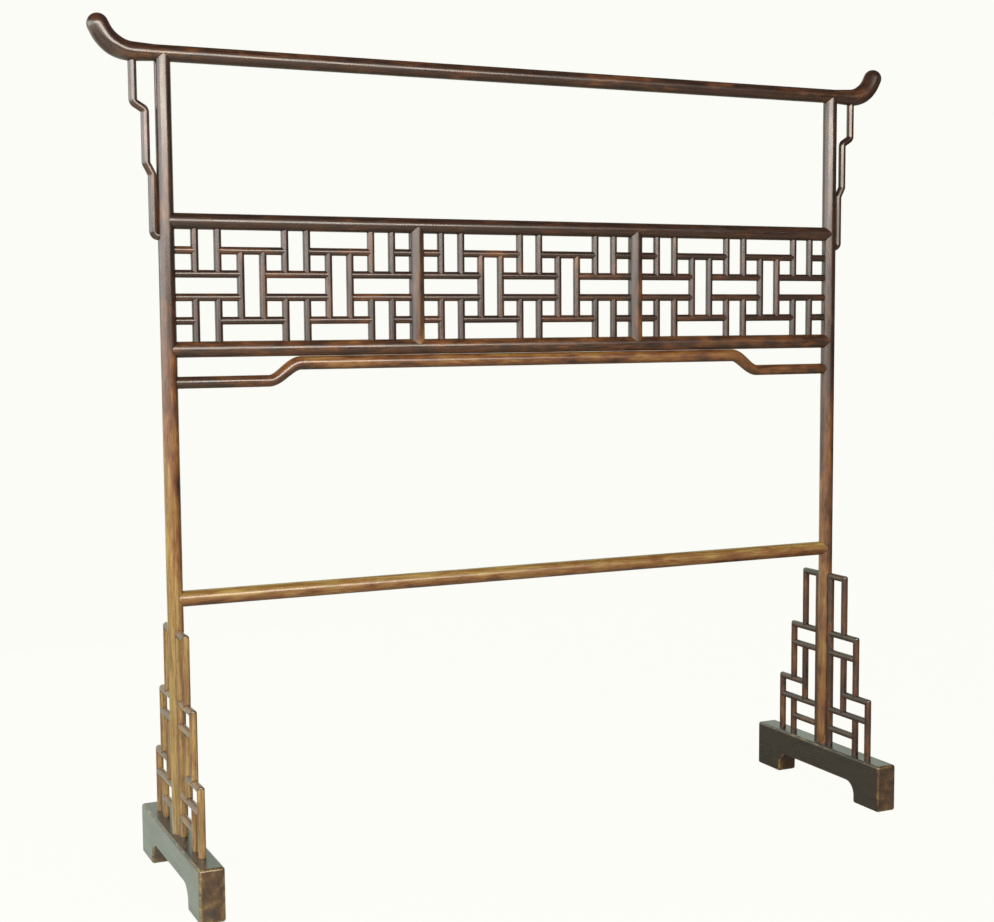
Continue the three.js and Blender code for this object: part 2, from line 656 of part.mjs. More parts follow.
// Two level bars from the side and two uprights from the rail, in one corner of the panel.
function latticeCorner(side, level) {
  const inner = level * 0.5;
  const outer = level * 1.5;
  const piece = new Piece().add(
    latticeBar([side * 2.5, inner], [side * FRAME_COLUMN, inner]),
    latticeBar([side * 4.5, outer], [side * FRAME_COLUMN, outer]),
  );
  piece.endsIn(latticeMeeting(gridPoint(side * 2.5, inner), sideways(-side), Z_AXIS));
  for (const row of [inner, outer]) {
    piece.endsIn(rodInFrame(gridPoint(side * FRAME_COLUMN, row), sideways(side), Z_AXIS));
  }
  for (const column of [side * 3.5, side * 4.5]) {
    piece.add(latticeBar([column, inner], [column, level * FRAME_ROW]));
    piece.endsIn(rodInFrame(gridPoint(column, level * FRAME_ROW), upwards(level), X_AXIS));
  }
  piece.receives(latticeMeeting(gridPoint(side * 3.5, outer), sideways(side), Z_AXIS));
  return piece.geometry();
}

// A level bar and two uprights from the rail, in the middle of the panel.
function latticeCentre(level) {
  const inner = level * 0.5;
  const piece = new Piece().add(latticeBar([-1.5, inner], [1.5, inner]));
  for (const side of [-1, 1]) {
    piece.endsIn(latticeMeeting(gridPoint(side * 1.5, inner), sideways(side), Z_AXIS));
    piece.add(latticeBar([side * 0.5, inner], [side * 0.5, level * FRAME_ROW]));
    piece.endsIn(rodInFrame(gridPoint(side * 0.5, level * FRAME_ROW), upwards(level), X_AXIS));
    const outer = gridPoint(side * 0.5, level * 1.5);
    piece.receives(latticeMeeting(outer, sideways(-side), Z_AXIS));
  }
  return piece.geometry();
}

// ---------------------------------------------------------------- finishes

const frameWood = new THREE.MeshStandardMaterial({ color: 0x4c2a1b, roughness: 0.42, metalness: 0 });
const latticeWood = new THREE.MeshStandardMaterial({ color: 0x43241a, roughness: 0.45, metalness: 0 });
const footWood = new THREE.MeshStandardMaterial({ color: 0x3a2620, roughness: 0.5, metalness: 0 });

// ---------------------------------------------------------------- assembly

const group = new THREE.Group();

function place(parent, name, geometry, material, position = point(0, 0, 0), turn = 0) {
  const mesh = new THREE.Mesh(geometry, material);
  mesh.name = name;
  mesh.position.copy(position);
  mesh.rotation.z = turn;
  parent.add(mesh);
}

place(group, 'crest_rail', crestRail(), frameWood);
place(group, 'panel_upper_rail', panelRail(UPPER_RAIL_HEIGHT, Z_AXIS), frameWood);
place(group, 'panel_lower_rail', panelRail(LOWER_RAIL_HEIGHT, NEGATIVE_Z), frameWood);
place(group, 'humpback_stretcher', humpbackStretcher(), frameWood);
place(group, 'bottom_stretcher', levelMember(STRETCHER_HEIGHT).geometry(), frameWood);

const stileGeometry = stile();
place(group, 'panel_left_stile', stileGeometry, frameWood, point(-STILE_X, 0, PANEL_MIDDLE));
place(group, 'panel_right_stile', stileGeometry, frameWood, point(STILE_X, 0, PANEL_MIDDLE));

const postGeometry = post();
const footGeometry = foot();
const hangerGeometry = hangingSpandrel();
const spandrelParts = {
  top_frame: spandrelTopFrame(),
  middle_frame: spandrelMiddleFrame(),
  outer_frame: spandrelOuterFrame(),
  base_rung: spandrelBaseRung(),
};

for (const [side, x, turn] of [['left', -POST_X, Math.PI], ['right', POST_X, 0]]) {
  const axis = point(x, 0, 0);
  place(group, `${side}_post`, postGeometry, frameWood, axis, turn);
  place(group, `${side}_foot`, footGeometry, footWood, axis, turn);
  place(group, `${side}_hanging_spandrel`, hangerGeometry, latticeWood, axis, turn);
  for (const [face, facing] of [['front', 0], ['rear', Math.PI]]) {
    for (const [part, geometry] of Object.entries(spandrelParts)) {
      place(group, `${side}_${face}_spandrel_${part}`, geometry, latticeWood, axis, facing);
    }
  }
}

const latticeParts = {
  left_ring: latticeRing(-1),
  right_ring: latticeRing(1),
  upper_left_corner: latticeCorner(-1, 1),
  lower_left_corner: latticeCorner(-1, -1),
  upper_centre: latticeCentre(1),
  lower_centre: latticeCentre(-1),
  upper_right_corner: latticeCorner(1, 1),
  lower_right_corner: latticeCorner(1, -1),
};

for (const [index, panel] of ['left', 'middle', 'right'].entries()) {
  const lattice = new THREE.Group();
  lattice.position.set(PANEL_CENTRES[index], 0, PANEL_MIDDLE);
  for (const [part, geometry] of Object.entries(latticeParts)) {
    place(lattice, `${panel}_lattice_${part}`, geometry, latticeWood);
  }
  group.add(lattice);
}

export default group;
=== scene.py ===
# %% [markdown]
# # A rack for long robes
# The rack is joined from round hardwood bars: two posts on block feet, a crest rail with turned-up
# ends, a panel of three lattices, two stretchers and stepped spandrels that brace the posts.
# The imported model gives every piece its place. This script gives each piece a smooth mesh, joints
# that are hollowed over their neighbours, and the dark lacquer that many hands have rubbed through.

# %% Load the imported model
import math
import random

import bmesh
import bpy
from mathutils import Matrix, Vector


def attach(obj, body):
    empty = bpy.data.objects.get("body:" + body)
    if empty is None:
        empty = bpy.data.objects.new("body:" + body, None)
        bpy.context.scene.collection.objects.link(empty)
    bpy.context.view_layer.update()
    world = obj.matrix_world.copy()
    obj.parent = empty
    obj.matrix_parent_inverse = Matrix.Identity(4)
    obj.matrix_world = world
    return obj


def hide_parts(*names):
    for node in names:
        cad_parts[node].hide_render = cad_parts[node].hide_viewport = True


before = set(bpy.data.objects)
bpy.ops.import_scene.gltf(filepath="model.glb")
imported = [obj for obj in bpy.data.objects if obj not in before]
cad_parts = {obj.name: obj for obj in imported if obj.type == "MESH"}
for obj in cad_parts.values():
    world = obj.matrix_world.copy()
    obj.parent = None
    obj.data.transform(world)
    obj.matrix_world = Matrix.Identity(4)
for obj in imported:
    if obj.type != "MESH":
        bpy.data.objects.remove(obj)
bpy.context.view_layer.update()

# %% [markdown]
# ## The camera
# The photograph was taken from the left, a little above the middle of the rack, with a lens that
# keeps the bars nearly straight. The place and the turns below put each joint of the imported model
# on the same spot of the picture. A camera looks along its own -Z, so the matrix is built from the
# directions that are right, up and backwards for it.

# %% Camera
PICTURE = (994, 922)
CAMERA_PLACE = Vector((-1.5657, -3.1793, 1.1412))
CAMERA_YAW, CAMERA_PITCH, CAMERA_ROLL = 0.4368, -0.0857, -0.0070
FOCAL_PIXELS = 1606.833
SENSOR_MM = 36.0


def camera_matrix(place, yaw, pitch, roll):
    """Where the camera stands and how it is turned."""
    ahead = Vector((math.sin(yaw) * math.cos(pitch), math.cos(yaw) * math.cos(pitch),
                    math.sin(pitch)))
    level = Vector((math.cos(yaw), -math.sin(yaw), 0))
    upright = level.cross(ahead)
    right = math.cos(roll) * level + math.sin(roll) * upright
    up = math.cos(roll) * upright - math.sin(roll) * level
    turned = Matrix((right, up, -ahead)).transposed().to_4x4()
    return Matrix.Translation(place) @ turned


lens = bpy.data.cameras.new("photo_camera")
lens.sensor_width = SENSOR_MM
lens.sensor_fit = "HORIZONTAL"
lens.lens = FOCAL_PIXELS * SENSOR_MM / PICTURE[0]
camera = bpy.data.objects.new("photo_camera", lens)
camera.matrix_world = camera_matrix(CAMERA_PLACE, CAMERA_YAW, CAMERA_PITCH, CAMERA_ROLL)
bpy.context.scene.collection.objects.link(camera)
bpy.context.scene.camera = camera
print("focal length:", round(lens.lens, 2), "mm")

# %% [markdown]
# ## Two small tools
# Colours are written the way a paint chart gives them, as sRGB hex values, while Blender counts
# light in linear values, so one function converts them. Another adds a node with its settings and
# its links, in a material or in Geometry Nodes.

# %% Tools for colours and nodes
def colour(chart):
    """Turns an sRGB hex value such as "3e200f" into linear red, green, blue and alpha."""
    parts = [int(chart[i:i + 2], 16) / 255 for i in (0, 2, 4)]
    linear = [p / 12.92 if p <= 0.04045 else ((p + 0.055) / 1.055) ** 2.4 for p in parts]
    return (*linear, 1.0)


def add(tree, kind, sockets=None, **settings):
    """Adds a node. A socket takes a plain value or a link from another node's output."""
    node = tree.nodes.new(kind)
    for name, value in settings.items():
        setattr(node, name, value)
    for socket, value in (sockets or {}).items():
        if isinstance(value, bpy.types.NodeSocket):
            tree.links.new(value, node.inputs[socket])
        else:
            node.inputs[socket].default_value = value
    return node


print("the brown 3e200f is", [round(part, 3) for part in colour("3e200f")], "in linear values")

# %% [markdown]
# ## Sizes
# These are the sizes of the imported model, in metres. Heights are those of the bars' axes above the
# floor. X runs along the rack, the front faces -Y, and the posts stand at Y = 0.

# %% Sizes of the rack
MM = 0.001
GAP = 0.3 * MM  # between two pieces that are cut to fit
POST_X = 800 * MM
CREST_Z = 1672.5 * MM
UPPER_RAIL_Z = 1347 * MM
STRETCHER_Z = 590.5 * MM
FRAME_R = 16.25 * MM
LATTICE_R = 8 * MM
PANEL_WIDTH = 2 * POST_X / 3
LATTICE_MARGIN = 56.1 * MM
LATTICE_COLUMNS = 9
PITCH = (PANEL_WIDTH - 2 * LATTICE_MARGIN) / LATTICE_COLUMNS
PANEL_HEIGHT = 254.5 * MM
LOWER_RAIL_Z = UPPER_RAIL_Z - PANEL_HEIGHT
PANEL_Z = (UPPER_RAIL_Z + LOWER_RAIL_Z) / 2
X, Y, Z = Vector((1, 0, 0)), Vector((0, 1, 0)), Vector((0, 0, 1))
print("lattice pitch:", round(PITCH / MM, 2), "mm")

# %% [markdown]
# ## Round bars and their joints
# Nearly every piece is a round bar. Where one ends against the side of another, the joiner hollows
# its end so that it closes over the round neighbour; from the front the joint looks like an
# arrowhead. Where two bars turn a corner, both are cut at 45 degrees and the outer corner is eased.
# A bar could be a cylinder with a boolean cut, but booleans leave long thin faces that shade badly.
# Here each bar is a line of points, and every point says how its ring of the skin is shaped. A
# Geometry Nodes tree then lays a round skin along all lines of a piece at once.
#
# Each end of a bar is one of four kinds: scribed over a round neighbour, mitred with another bar,
# flat on a foot, or free.

# %% How a bar may end
def scribed(radius, across):
    """Hollowed over a neighbour of that radius, whose axis runs along `across`."""
    return {"kind": "scribed", "radius": radius, "across": across}


def mitred(toward):
    """Cut at 45 degrees where the other bar leaves the corner in the direction `toward`."""
    return {"kind": "mitred", "toward": toward}


FLAT = {"kind": "flat"}
FREE = {"kind": "free"}


def bar(points, radius, start, end, worn=0.1):
    """One round bar. `radius` is a number or one for each point; `worn` may depend on the place."""
    radii = radius if isinstance(radius, list) else [radius] * len(points)
    wear = worn if callable(worn) else (lambda place: worn)
    return {"points": points, "radii": radii, "ends": (start, end), "worn": wear}


print("a scribed end of a lattice bar:", scribed(LATTICE_R, Z))

# %% [markdown]
# The next cell works out the rings of an end. A scribed end has its last ring on the neighbour's
# axis, and the tree will pull each point of it back to the neighbour's skin. The ring before it
# stands clear of the hollow. A mitred end has four rings that follow the eased corner.

# %% Rings of an end
EASING = 0.62  # radius of an eased corner, as a share of the bar's own radius
MITRE_TURNS = (0, 15, 30, 45)  # degrees of the easing that the last rings of a mitred end follow
RING_STEP = 0.4 * MM  # between those rings
CLEAR = 2 * MM  # between a joint and the next ring


def one_ring(place, radius, facts, outward=Vector(), reach=0.0, drop=0.0):
    return {"place": place, "radius": radius, "outward": outward, "reach": reach,
            "drop": drop, **facts}


def end_facts(kind, outward, radius):
    """What the rings near an end need to know about its joint."""
    facts = {"over": 0.0, "side": Vector(), "mitre": Vector(), "free": 0.0, "back": CLEAR}
    if kind["kind"] == "scribed":
        facts["over"] = kind["radius"] + GAP
        facts["side"] = outward.cross(kind["across"]).normalized()
        facts["back"] = facts["over"] + CLEAR
    elif kind["kind"] == "mitred":
        facts["mitre"] = -kind["toward"]
        facts["back"] = radius + CLEAR
    elif kind["kind"] == "free":
        facts["free"] = 1.0
    return facts


def end_rings(kind, place, outward, radius, facts):
    """The last rings of one end, from the tip inwards."""
    if kind["kind"] == "scribed":
        return [one_ring(place, radius, facts, outward)]
    rings = []
    if kind["kind"] == "mitred":
        for step, turn in enumerate(reversed(MITRE_TURNS)):
            angle = math.radians(turn)
            rings.append(one_ring(
                place - outward * RING_STEP * step, radius, facts, outward,
                1 - EASING + EASING * math.sin(angle), EASING * (1 - math.cos(angle))))
    return rings


print("a mitred end has", len(MITRE_TURNS), "rings")

# %% [markdown]
# Between the ends there is a ring every 25 mm, so that the skin can waver a little as handwork
# does. A flat or free end needs no ring of its own: it is where the line stops.

# %% Rings along a bar
RING_SPACING = 25 * MM


def divided(points, radii):
    """Adds points so that no two are further apart than the ring spacing."""
    result = [(points[0], radii[0])]
    for k in range(1, len(points)):
        run = points[k] - points[k - 1]
        parts = max(1, math.ceil(run.length / RING_SPACING - 0.01))  # 1 % of slack for rounding
        for part in range(1, parts + 1):
            share = part / parts
            radius = radii[k - 1] + (radii[k] - radii[k - 1]) * share
            result.append((points[k - 1] + run * share, radius))
    return result


def rings_of(one):
    """All rings of a bar, from its start to its end."""
    points, radii = list(one["points"]), list(one["radii"])
    facts, tips = [], []
    for which, inner in ((0, 1), (-1, -2)):
        kind = one["ends"][which]
        run = points[which] - points[inner]
        outward = run.normalized()
        facts.append(end_facts(kind, outward, radii[which]))
        tips.append(end_rings(kind, points[which], outward, radii[which], facts[-1]))
        if kind["kind"] in ("scribed", "mitred"):
            if run.length > facts[-1]["back"] + CLEAR:
                points[which] = points[which] - outward * facts[-1]["back"]
            else:
                del points[which], radii[which]
    middle = divided(points, radii)
    half = len(middle) / 2
    rings = list(tips[0])
    for k, (place, radius) in enumerate(middle):
        rings.append(one_ring(place, radius, facts[0] if k < half else facts[1]))
    rings.extend(reversed(tips[1]))
    for ring in rings:
        ring["worn"] = one["worn"](ring["place"])
    return rings


sample = bar([Vector((0, 0, 0)), Vector((0.2, 0, 0))], LATTICE_R, scribed(LATTICE_R, Z), mitred(Z))
print("a 200 mm lattice bar has", len(rings_of(sample)), "rings")

# %% [markdown]
# The rings become the points of a mesh that has edges only, one chain for each bar. What a ring
# knows is stored on its point as attributes. Each bar also gets its own place in the wood, so that
# no two bars show the same grain; the random numbers have a fixed seed.

# %% Lines that carry the facts of their rings
VECTORS = ("outward", "side", "mitre")
NUMBERS = {"radius": "bar_radius", "over": "over_radius", "reach": "reach", "drop": "drop",
           "free": "free_end", "worn": "worn"}
WOOD_REACH = 2  # metres on each side of the wood's origin from which a bar is taken


def store(mesh, name, kind, values):
    """Writes one attribute on the points of a mesh."""
    attribute = mesh.attributes.new(name, kind, "POINT")
    if kind == "FLOAT":
        attribute.data.foreach_set("value", values)
    else:
        attribute.data.foreach_set("vector", [part for value in values for part in value])


def line_mesh(name, bars):
    """A mesh of edge chains with the attributes that the tree reads."""
    chance = random.Random(name)
    rings, edges, wood = [], [], []
    for one in bars:
        first = len(rings)
        made = rings_of(one)
        rings.extend(made)
        edges.extend((k, k + 1) for k in range(first, first + len(made) - 1))
        origin = Vector([chance.uniform(-WOOD_REACH, WOOD_REACH) for _ in range(3)])
        wood.extend([origin] * len(made))
    mesh = bpy.data.meshes.new(name)
    mesh.from_pydata([ring["place"] for ring in rings], edges, [])
    for key in VECTORS:
        store(mesh, key, "FLOAT_VECTOR", [ring[key] for ring in rings])
    for key, attribute in NUMBERS.items():
        store(mesh, attribute, "FLOAT", [ring[key] for ring in rings])
    store(mesh, "wood_origin", "FLOAT_VECTOR", wood)
    return mesh


print("attributes on a line:", len(VECTORS) + len(NUMBERS) + 1)

# %% [markdown]
# ## The tree that lays a round skin
# Curve to Mesh sweeps a circle along every chain. It cannot shape the ends, so the tree captures
# where each ring's middle was, and finds for each point of the skin the arm that reaches from the
# middle to it. At a scribed end the point is pulled back along the bar by the distance at which the
# neighbour's round skin lies: the root of its radius squared less the sideways reach squared. At a
# mitred end it moves along the bar by as much as its arm reaches into the corner. Last, a slow
# noise moves the skin in and out by a quarter of a millimetre.
#
# The tree also writes two attributes for the finish: "wood", where a point of the skin lies in the
# plank it was cut from, with the grain along Z, and "seam", how far it is from the nearest joint.

# %% An empty tree with its inputs
HANDWORK, SEED = 0.25 * MM, 7


def tree_sockets(tree, wanted):
    """Adds the named inputs of a tree and returns their identifiers."""
    found = {}
    for name, kind, value in wanted:
        socket = tree.interface.new_socket(name, in_out="INPUT", socket_type=kind)
        if value is not None:
            socket.default_value = value
        found[name] = socket.identifier
    tree.interface.new_socket("Geometry", in_out="OUTPUT", socket_type="NodeSocketGeometry")
    return found


bars_tree = bpy.data.node_groups.new("round_bars", "GeometryNodeTree")
BARS_INPUTS = tree_sockets(bars_tree, [
    ("Lines", "NodeSocketGeometry", None),
    ("Sides", "NodeSocketInt", 32),
    ("Handwork", "NodeSocketFloat", HANDWORK),
    ("Seed", "NodeSocketInt", SEED),
    ("Finish", "NodeSocketMaterial", None),
])
print("inputs of the tree:", list(BARS_INPUTS))

# %% [markdown]
# A few helpers keep the sums readable, read what a ring knows, and keep values from before the
# sweep.

# %% Helpers for the tree
def maths(tree, operation, first, second=0.0):
    return add(tree, "ShaderNodeMath", {0: first, 1: second}, operation=operation).outputs[0]


def calc(operation, first, second=0.0):
    return maths(bars_tree, operation, first, second)


def vectors(operation, first, second=(0, 0, 0)):
    """The same for directions."""
    other = "Scale" if operation == "SCALE" else 1
    node = add(bars_tree, "ShaderNodeVectorMath", {0: first, other: second}, operation=operation)
    return node.outputs["Value" if operation in ("DOT_PRODUCT", "LENGTH") else "Vector"]


def named(name, kind="FLOAT"):
    node = add(bars_tree, "GeometryNodeInputNamedAttribute", {"Name": name}, data_type=kind)
    return node.outputs["Attribute"]


def capture(geometry, fields):
    """Keeps fields as they are now. Returns the geometry and the kept fields."""
    node = add(bars_tree, "GeometryNodeCaptureAttribute", {"Geometry": geometry}, domain="POINT")
    for kind, name, field in fields:
        node.capture_items.new(kind, name)
        bars_tree.links.new(field, node.inputs[name])
    return node.outputs["Geometry"], [node.outputs[name] for _, name, _ in fields]


outward = named("outward", "FLOAT_VECTOR")
mitre = named("mitre", "FLOAT_VECTOR")
over = named("over_radius")
print("the tree reads:", [node.inputs["Name"].default_value for node in bars_tree.nodes])

# %% [markdown]
# First the sweep. The circle has a radius of 1 and each ring's own radius scales it. Its corner
# points are kept too, because they say where a point lies across the grain.

# %% Sweep the circle along the lines
group_in = add(bars_tree, "NodeGroupInput")
lines = add(bars_tree, "GeometryNodeMeshToCurve", {"Mesh": group_in.outputs["Lines"]})
along = add(bars_tree, "GeometryNodeSplineParameter").outputs["Length"]
whole = add(bars_tree, "GeometryNodeSplineLength").outputs["Length"]
here = add(bars_tree, "GeometryNodeInputPosition").outputs[0]
kept_lines, (middle, distance, length) = capture(lines.outputs["Curve"], [
    ("VECTOR", "Middle", here), ("FLOAT", "Distance", along), ("FLOAT", "Whole", whole)])
circle = add(bars_tree, "GeometryNodeCurvePrimitiveCircle",
             {"Resolution": group_in.outputs["Sides"], "Radius": 1.0})
kept_circle, (spoke,) = capture(circle.outputs["Curve"], [("VECTOR", "Spoke", here)])
skin = add(bars_tree, "GeometryNodeCurveToMesh", {
    "Curve": kept_lines, "Profile Curve": kept_circle,
    "Scale": named("bar_radius"), "Fill Caps": True})
print("nodes so far:", len(bars_tree.nodes))

# %% [markdown]
# Then the ends. `shift` moves a point along the bar, and `eased` moves the outer side of a mitred
# corner inwards, so that the corner is rounded off.

# %% Shape the ends
arm = vectors("SUBTRACT", here, middle)
sideways = vectors("DOT_PRODUCT", arm, named("side", "FLOAT_VECTOR"))
square = calc("SUBTRACT", calc("MULTIPLY", over, over), calc("MULTIPLY", sideways, sideways))
hollow = calc("SQRT", calc("MAXIMUM", square, 0.0))
corner = vectors("DOT_PRODUCT", arm, mitre)
outer = calc("MAXIMUM", corner, 0.0)
inner = calc("MINIMUM", corner, 0.0)
forward = calc("ADD", inner, calc("MULTIPLY", outer, named("reach")))
shift = vectors("SCALE", outward, calc("SUBTRACT", forward, hollow))
eased = vectors("SCALE", mitre, calc("MULTIPLY", calc("MULTIPLY", outer, named("drop")), -1.0))
print("nodes so far:", len(bars_tree.nodes))

# %% [markdown]
# A plane leaves a bar slightly uneven, where a perfect cylinder would look turned by a machine. The
# noise leaves the rings of a joint alone, since these have to meet their neighbour.

# %% Handwork and the place in the wood
WAVERS = (30, 30, 14)  # per metre, across the grain and along it
across_grain = vectors("SCALE", spoke, named("bar_radius"))
along_grain = add(bars_tree, "ShaderNodeCombineXYZ", {"Z": distance}).outputs[0]
in_bar = vectors("ADD", across_grain, along_grain)
wood = vectors("ADD", in_bar, named("wood_origin", "FLOAT_VECTOR"))
waver = add(bars_tree, "ShaderNodeTexNoise", {
    "Vector": vectors("MULTIPLY", wood, WAVERS), "Detail": 1.0, "W": group_in.outputs["Seed"]},
    noise_dimensions="4D").outputs["Fac"]
plain = calc("SUBTRACT", 1.0, vectors("LENGTH", outward))
amount = calc("MULTIPLY", plain, group_in.outputs["Handwork"])
depth = calc("MULTIPLY", calc("SUBTRACT", waver, 0.5), amount)
handwork = vectors("SCALE", vectors("NORMALIZE", arm), calc("MULTIPLY", depth, 2.0))
print("nodes so far:", len(bars_tree.nodes))

# %% [markdown]
# The points move only after both attributes are written, which are worked out on the straight skin.

# %% Move the points and hand over
to_end = calc("MINIMUM", distance, calc("SUBTRACT", length, distance))
from_joint = calc("SUBTRACT", calc("ADD", to_end, inner), hollow)
seam = calc("ADD", named("free_end"), calc("MAXIMUM", from_joint, 0.0))
with_wood = add(bars_tree, "GeometryNodeStoreNamedAttribute", {
    "Geometry": skin.outputs["Mesh"], "Name": "wood", "Value": wood},
    data_type="FLOAT_VECTOR", domain="POINT")
with_seam = add(bars_tree, "GeometryNodeStoreNamedAttribute", {
    "Geometry": with_wood.outputs["Geometry"], "Name": "seam", "Value": seam},
    data_type="FLOAT", domain="POINT")
moved = add(bars_tree, "GeometryNodeSetPosition", {
    "Geometry": with_seam.outputs["Geometry"],
    "Offset": vectors("ADD", vectors("ADD", shift, eased), handwork)})
real = add(bars_tree, "GeometryNodeRealizeInstances", {"Geometry": moved.outputs["Geometry"]})
finished = add(bars_tree, "GeometryNodeSetMaterial", {
    "Geometry": real.outputs["Geometry"], "Material": group_in.outputs["Finish"]})
add(bars_tree, "NodeGroupOutput", {0: finished.outputs["Geometry"]})
print("the tree has", len(bars_tree.nodes), "nodes")

# %% [markdown]
# ## The finish
# The wood is a northern hardwood such as elm. It was stained and given many thin coats of brown
# lacquer, which dry to a satin gloss with a soft, wide highlight. A century of hands and dusters
# has rubbed it: first the dark coats grow thin and show reddish brown, then golden wood lies bare
# where the rack is touched most, while the joints are darker with dirt and with painted shade in
# their creases. A picture wrapped around the bars would stretch and repeat. So the material has
# four layers made from noise: bare wood with its grain, thinned lacquer, full lacquer, and dirt
# with painted shade at the seams, under a clear coat.

# %% Patterns in the wood
# Each pattern: its width across the grain, how many times longer it is along the grain, the detail
# and the roughness of its noise, and the ramp that sharpens it.
PATTERNS = {
    "bands": (5 * MM, 18, 3.0, 0.55, (0.36, 0.64)),  # early and late wood
    "fibres": (1.4 * MM, 26, 2.0, 0.55, None),  # coarser than real fibres, so that they show
    "pores": (1.4 * MM, 9, 1.0, 0.55, (0.62, 0.72)),
    "patches": (22 * MM, 3.2, 4.0, 0.62, None),  # rubbed spots
    "clouds": (60 * MM, 2.5, 2.0, 0.55, (0.35, 0.65)),  # where the brush left more lacquer
    "knocks": (14 * MM, 2.0, 3.0, 0.55, (0.35, 0.7, 0.15, 1.0)),  # on the edges
}


def ramp(tree, value, low, high, to_low=0.0, to_high=1.0):
    return add(tree, "ShaderNodeMapRange", {
        "Value": value, "From Min": low, "From Max": high, "To Min": to_low,
        "To Max": to_high}, interpolation_type="SMOOTHSTEP").outputs[0]


def wood_patterns(tree):
    """All that varies over the wood, each from 0 to 1."""
    wood_at = add(tree, "ShaderNodeAttribute", attribute_name="wood").outputs["Vector"]
    found = {}
    for name, (width, stretch, detail, roughness, limits) in PATTERNS.items():
        scaled = add(tree, "ShaderNodeVectorMath", {0: wood_at, 1: (1, 1, 1 / stretch)},
                     operation="MULTIPLY")
        noise = add(tree, "ShaderNodeTexNoise", {
            "Vector": scaled.outputs[0], "Scale": 1 / width, "Detail": detail,
            "Roughness": roughness}).outputs["Fac"]
        found[name] = ramp(tree, noise, *limits) if limits else noise
    return found


print("patterns in the wood:", list(PATTERNS))

# %% [markdown]
# The wear at a point is the piece's "worn" value, more on a knocked edge, and more or less in
# patches and along the fibres. As it grows, the lacquer first thins and then gives way to the wood.

# %% How far the lacquer is rubbed
PATCH_SWING, FIBRE_SWING = 1.2, 0.5
THINNED, BARE = (0.1, 0.65), (0.4, 0.95)  # wear at which a stage begins and at which it is complete


def swing(tree, base, pattern, amount):
    """Adds a pattern that swings around zero."""
    centred = maths(tree, "SUBTRACT", pattern, 0.5)
    return maths(tree, "ADD", base, maths(tree, "MULTIPLY", centred, amount))


def wear_stages(tree, wood, edge_wear):
    """How far the lacquer is thinned and how far the wood is bare, from 0 to 1."""
    # The worn value also holds the painted light and shade that a piece's lean puts on one side.
    wear_and_light_at = add(tree, "ShaderNodeAttribute", attribute_name="worn").outputs["Fac"]
    edge_at = add(tree, "ShaderNodeAttribute", attribute_name="edge").outputs["Fac"]
    knocked = maths(tree, "MULTIPLY", edge_at, wood["knocks"])
    wear = maths(tree, "ADD", wear_and_light_at, maths(tree, "MULTIPLY", knocked, edge_wear))
    wear = swing(tree, wear, wood["patches"], PATCH_SWING)
    wear = swing(tree, wear, wood["fibres"], FIBRE_SWING)
    return ramp(tree, wear, *THINNED), ramp(tree, wear, *BARE)


print("the wood begins to show at a wear of", BARE[0])

# %% [markdown]
# The bump shows that bare wood lies a little lower than the lacquer around it, and pores too. The
# wood itself hardly shines; the gloss is that of the coat.

# %% Lacquered hardwood
# Dirt, and painted shade in the crease of each joint: a dark band along the seam.
DIRT_AND_SHADE, DIRT_AND_SHADE_WIDTH = colour("160b08"), 1.6 * MM
CLOUD_SHARE, PORE_SHARE, DIRT_AND_SHADE_SHARE = 0.35, 0.7, 0.85  # how much of each shows in the colour
SATIN = (0.24, 0.33)  # roughness of the coat, from its smoothest to its dullest places
COAT_IOR = 1.8  # a high value, as old lacquer shines strongly
BUMP_HEIGHT, BUMP_STRENGTH = 0.35 * MM, 0.1


def empty_material(name):
    """A material without nodes, and its tree."""
    material = bpy.data.materials.new(name)
    material.use_nodes = True
    material.node_tree.nodes.clear()
    return material, material.node_tree


def mix(tree, share, first, second):
    node = add(tree, "ShaderNodeMix", {0: share, 6: first, 7: second}, data_type="RGBA")
    return node.outputs[2]


def rubbed_lacquer(name, lacquer, lacquer_deep, thinned, bare, bare_deep, edge_wear=0.0):
    """Brown lacquer on hardwood, rubbed through where the "worn" attribute says so."""
    material, tree = empty_material(name)
    wood = wood_patterns(tree)
    thin, through = wear_stages(tree, wood, edge_wear)

    def part(pattern, share):
        return maths(tree, "MULTIPLY", pattern, share)

    coat = mix(tree, wood["bands"], colour(lacquer_deep), colour(lacquer))
    coat = mix(tree, part(wood["clouds"], CLOUD_SHARE), coat, colour(lacquer_deep))
    timber = mix(tree, wood["bands"], colour(bare_deep), colour(bare))
    timber = mix(tree, part(wood["pores"], PORE_SHARE), timber, colour(lacquer_deep))
    surface = mix(tree, through, mix(tree, thin, coat, colour(thinned)), timber)
    # Near a joint the colour darkens: dirt, and painted shade in the crease.
    seam_at = add(tree, "ShaderNodeAttribute", attribute_name="seam").outputs["Fac"]
    surface = mix(tree, part(ramp(tree, seam_at, DIRT_AND_SHADE_WIDTH, 0.0), DIRT_AND_SHADE_SHARE), surface, DIRT_AND_SHADE)

    uneven = maths(tree, "ADD", part(wood["clouds"], 0.5), wood["fibres"])
    height = maths(tree, "ADD", part(wood["fibres"], 0.5), part(wood["pores"], -0.5))
    height = maths(tree, "ADD", height, part(through, -0.35))
    bump = add(tree, "ShaderNodeBump", {
        "Strength": BUMP_STRENGTH, "Distance": BUMP_HEIGHT, "Height": height})
    shader = add(tree, "ShaderNodeBsdfPrincipled", {
        "Base Color": surface, "Roughness": 0.5, "Normal": bump.outputs[0],
        "Specular IOR Level": 0.2, "Coat Weight": 1.0,
        "Coat Roughness": ramp(tree, uneven, 0.3, 1.1, *SATIN), "Coat IOR": COAT_IOR})
    add(tree, "ShaderNodeOutputMaterial", {"Surface": shader.outputs[0]})
    return material


print("roughness of the coat:", SATIN)

# %% [markdown]
# The frame is a warm dark brown that turns amber where it is rubbed. The thin lattice bars are
# darker and redder. The feet have an olive-black coat, and their edges are knocked bare.

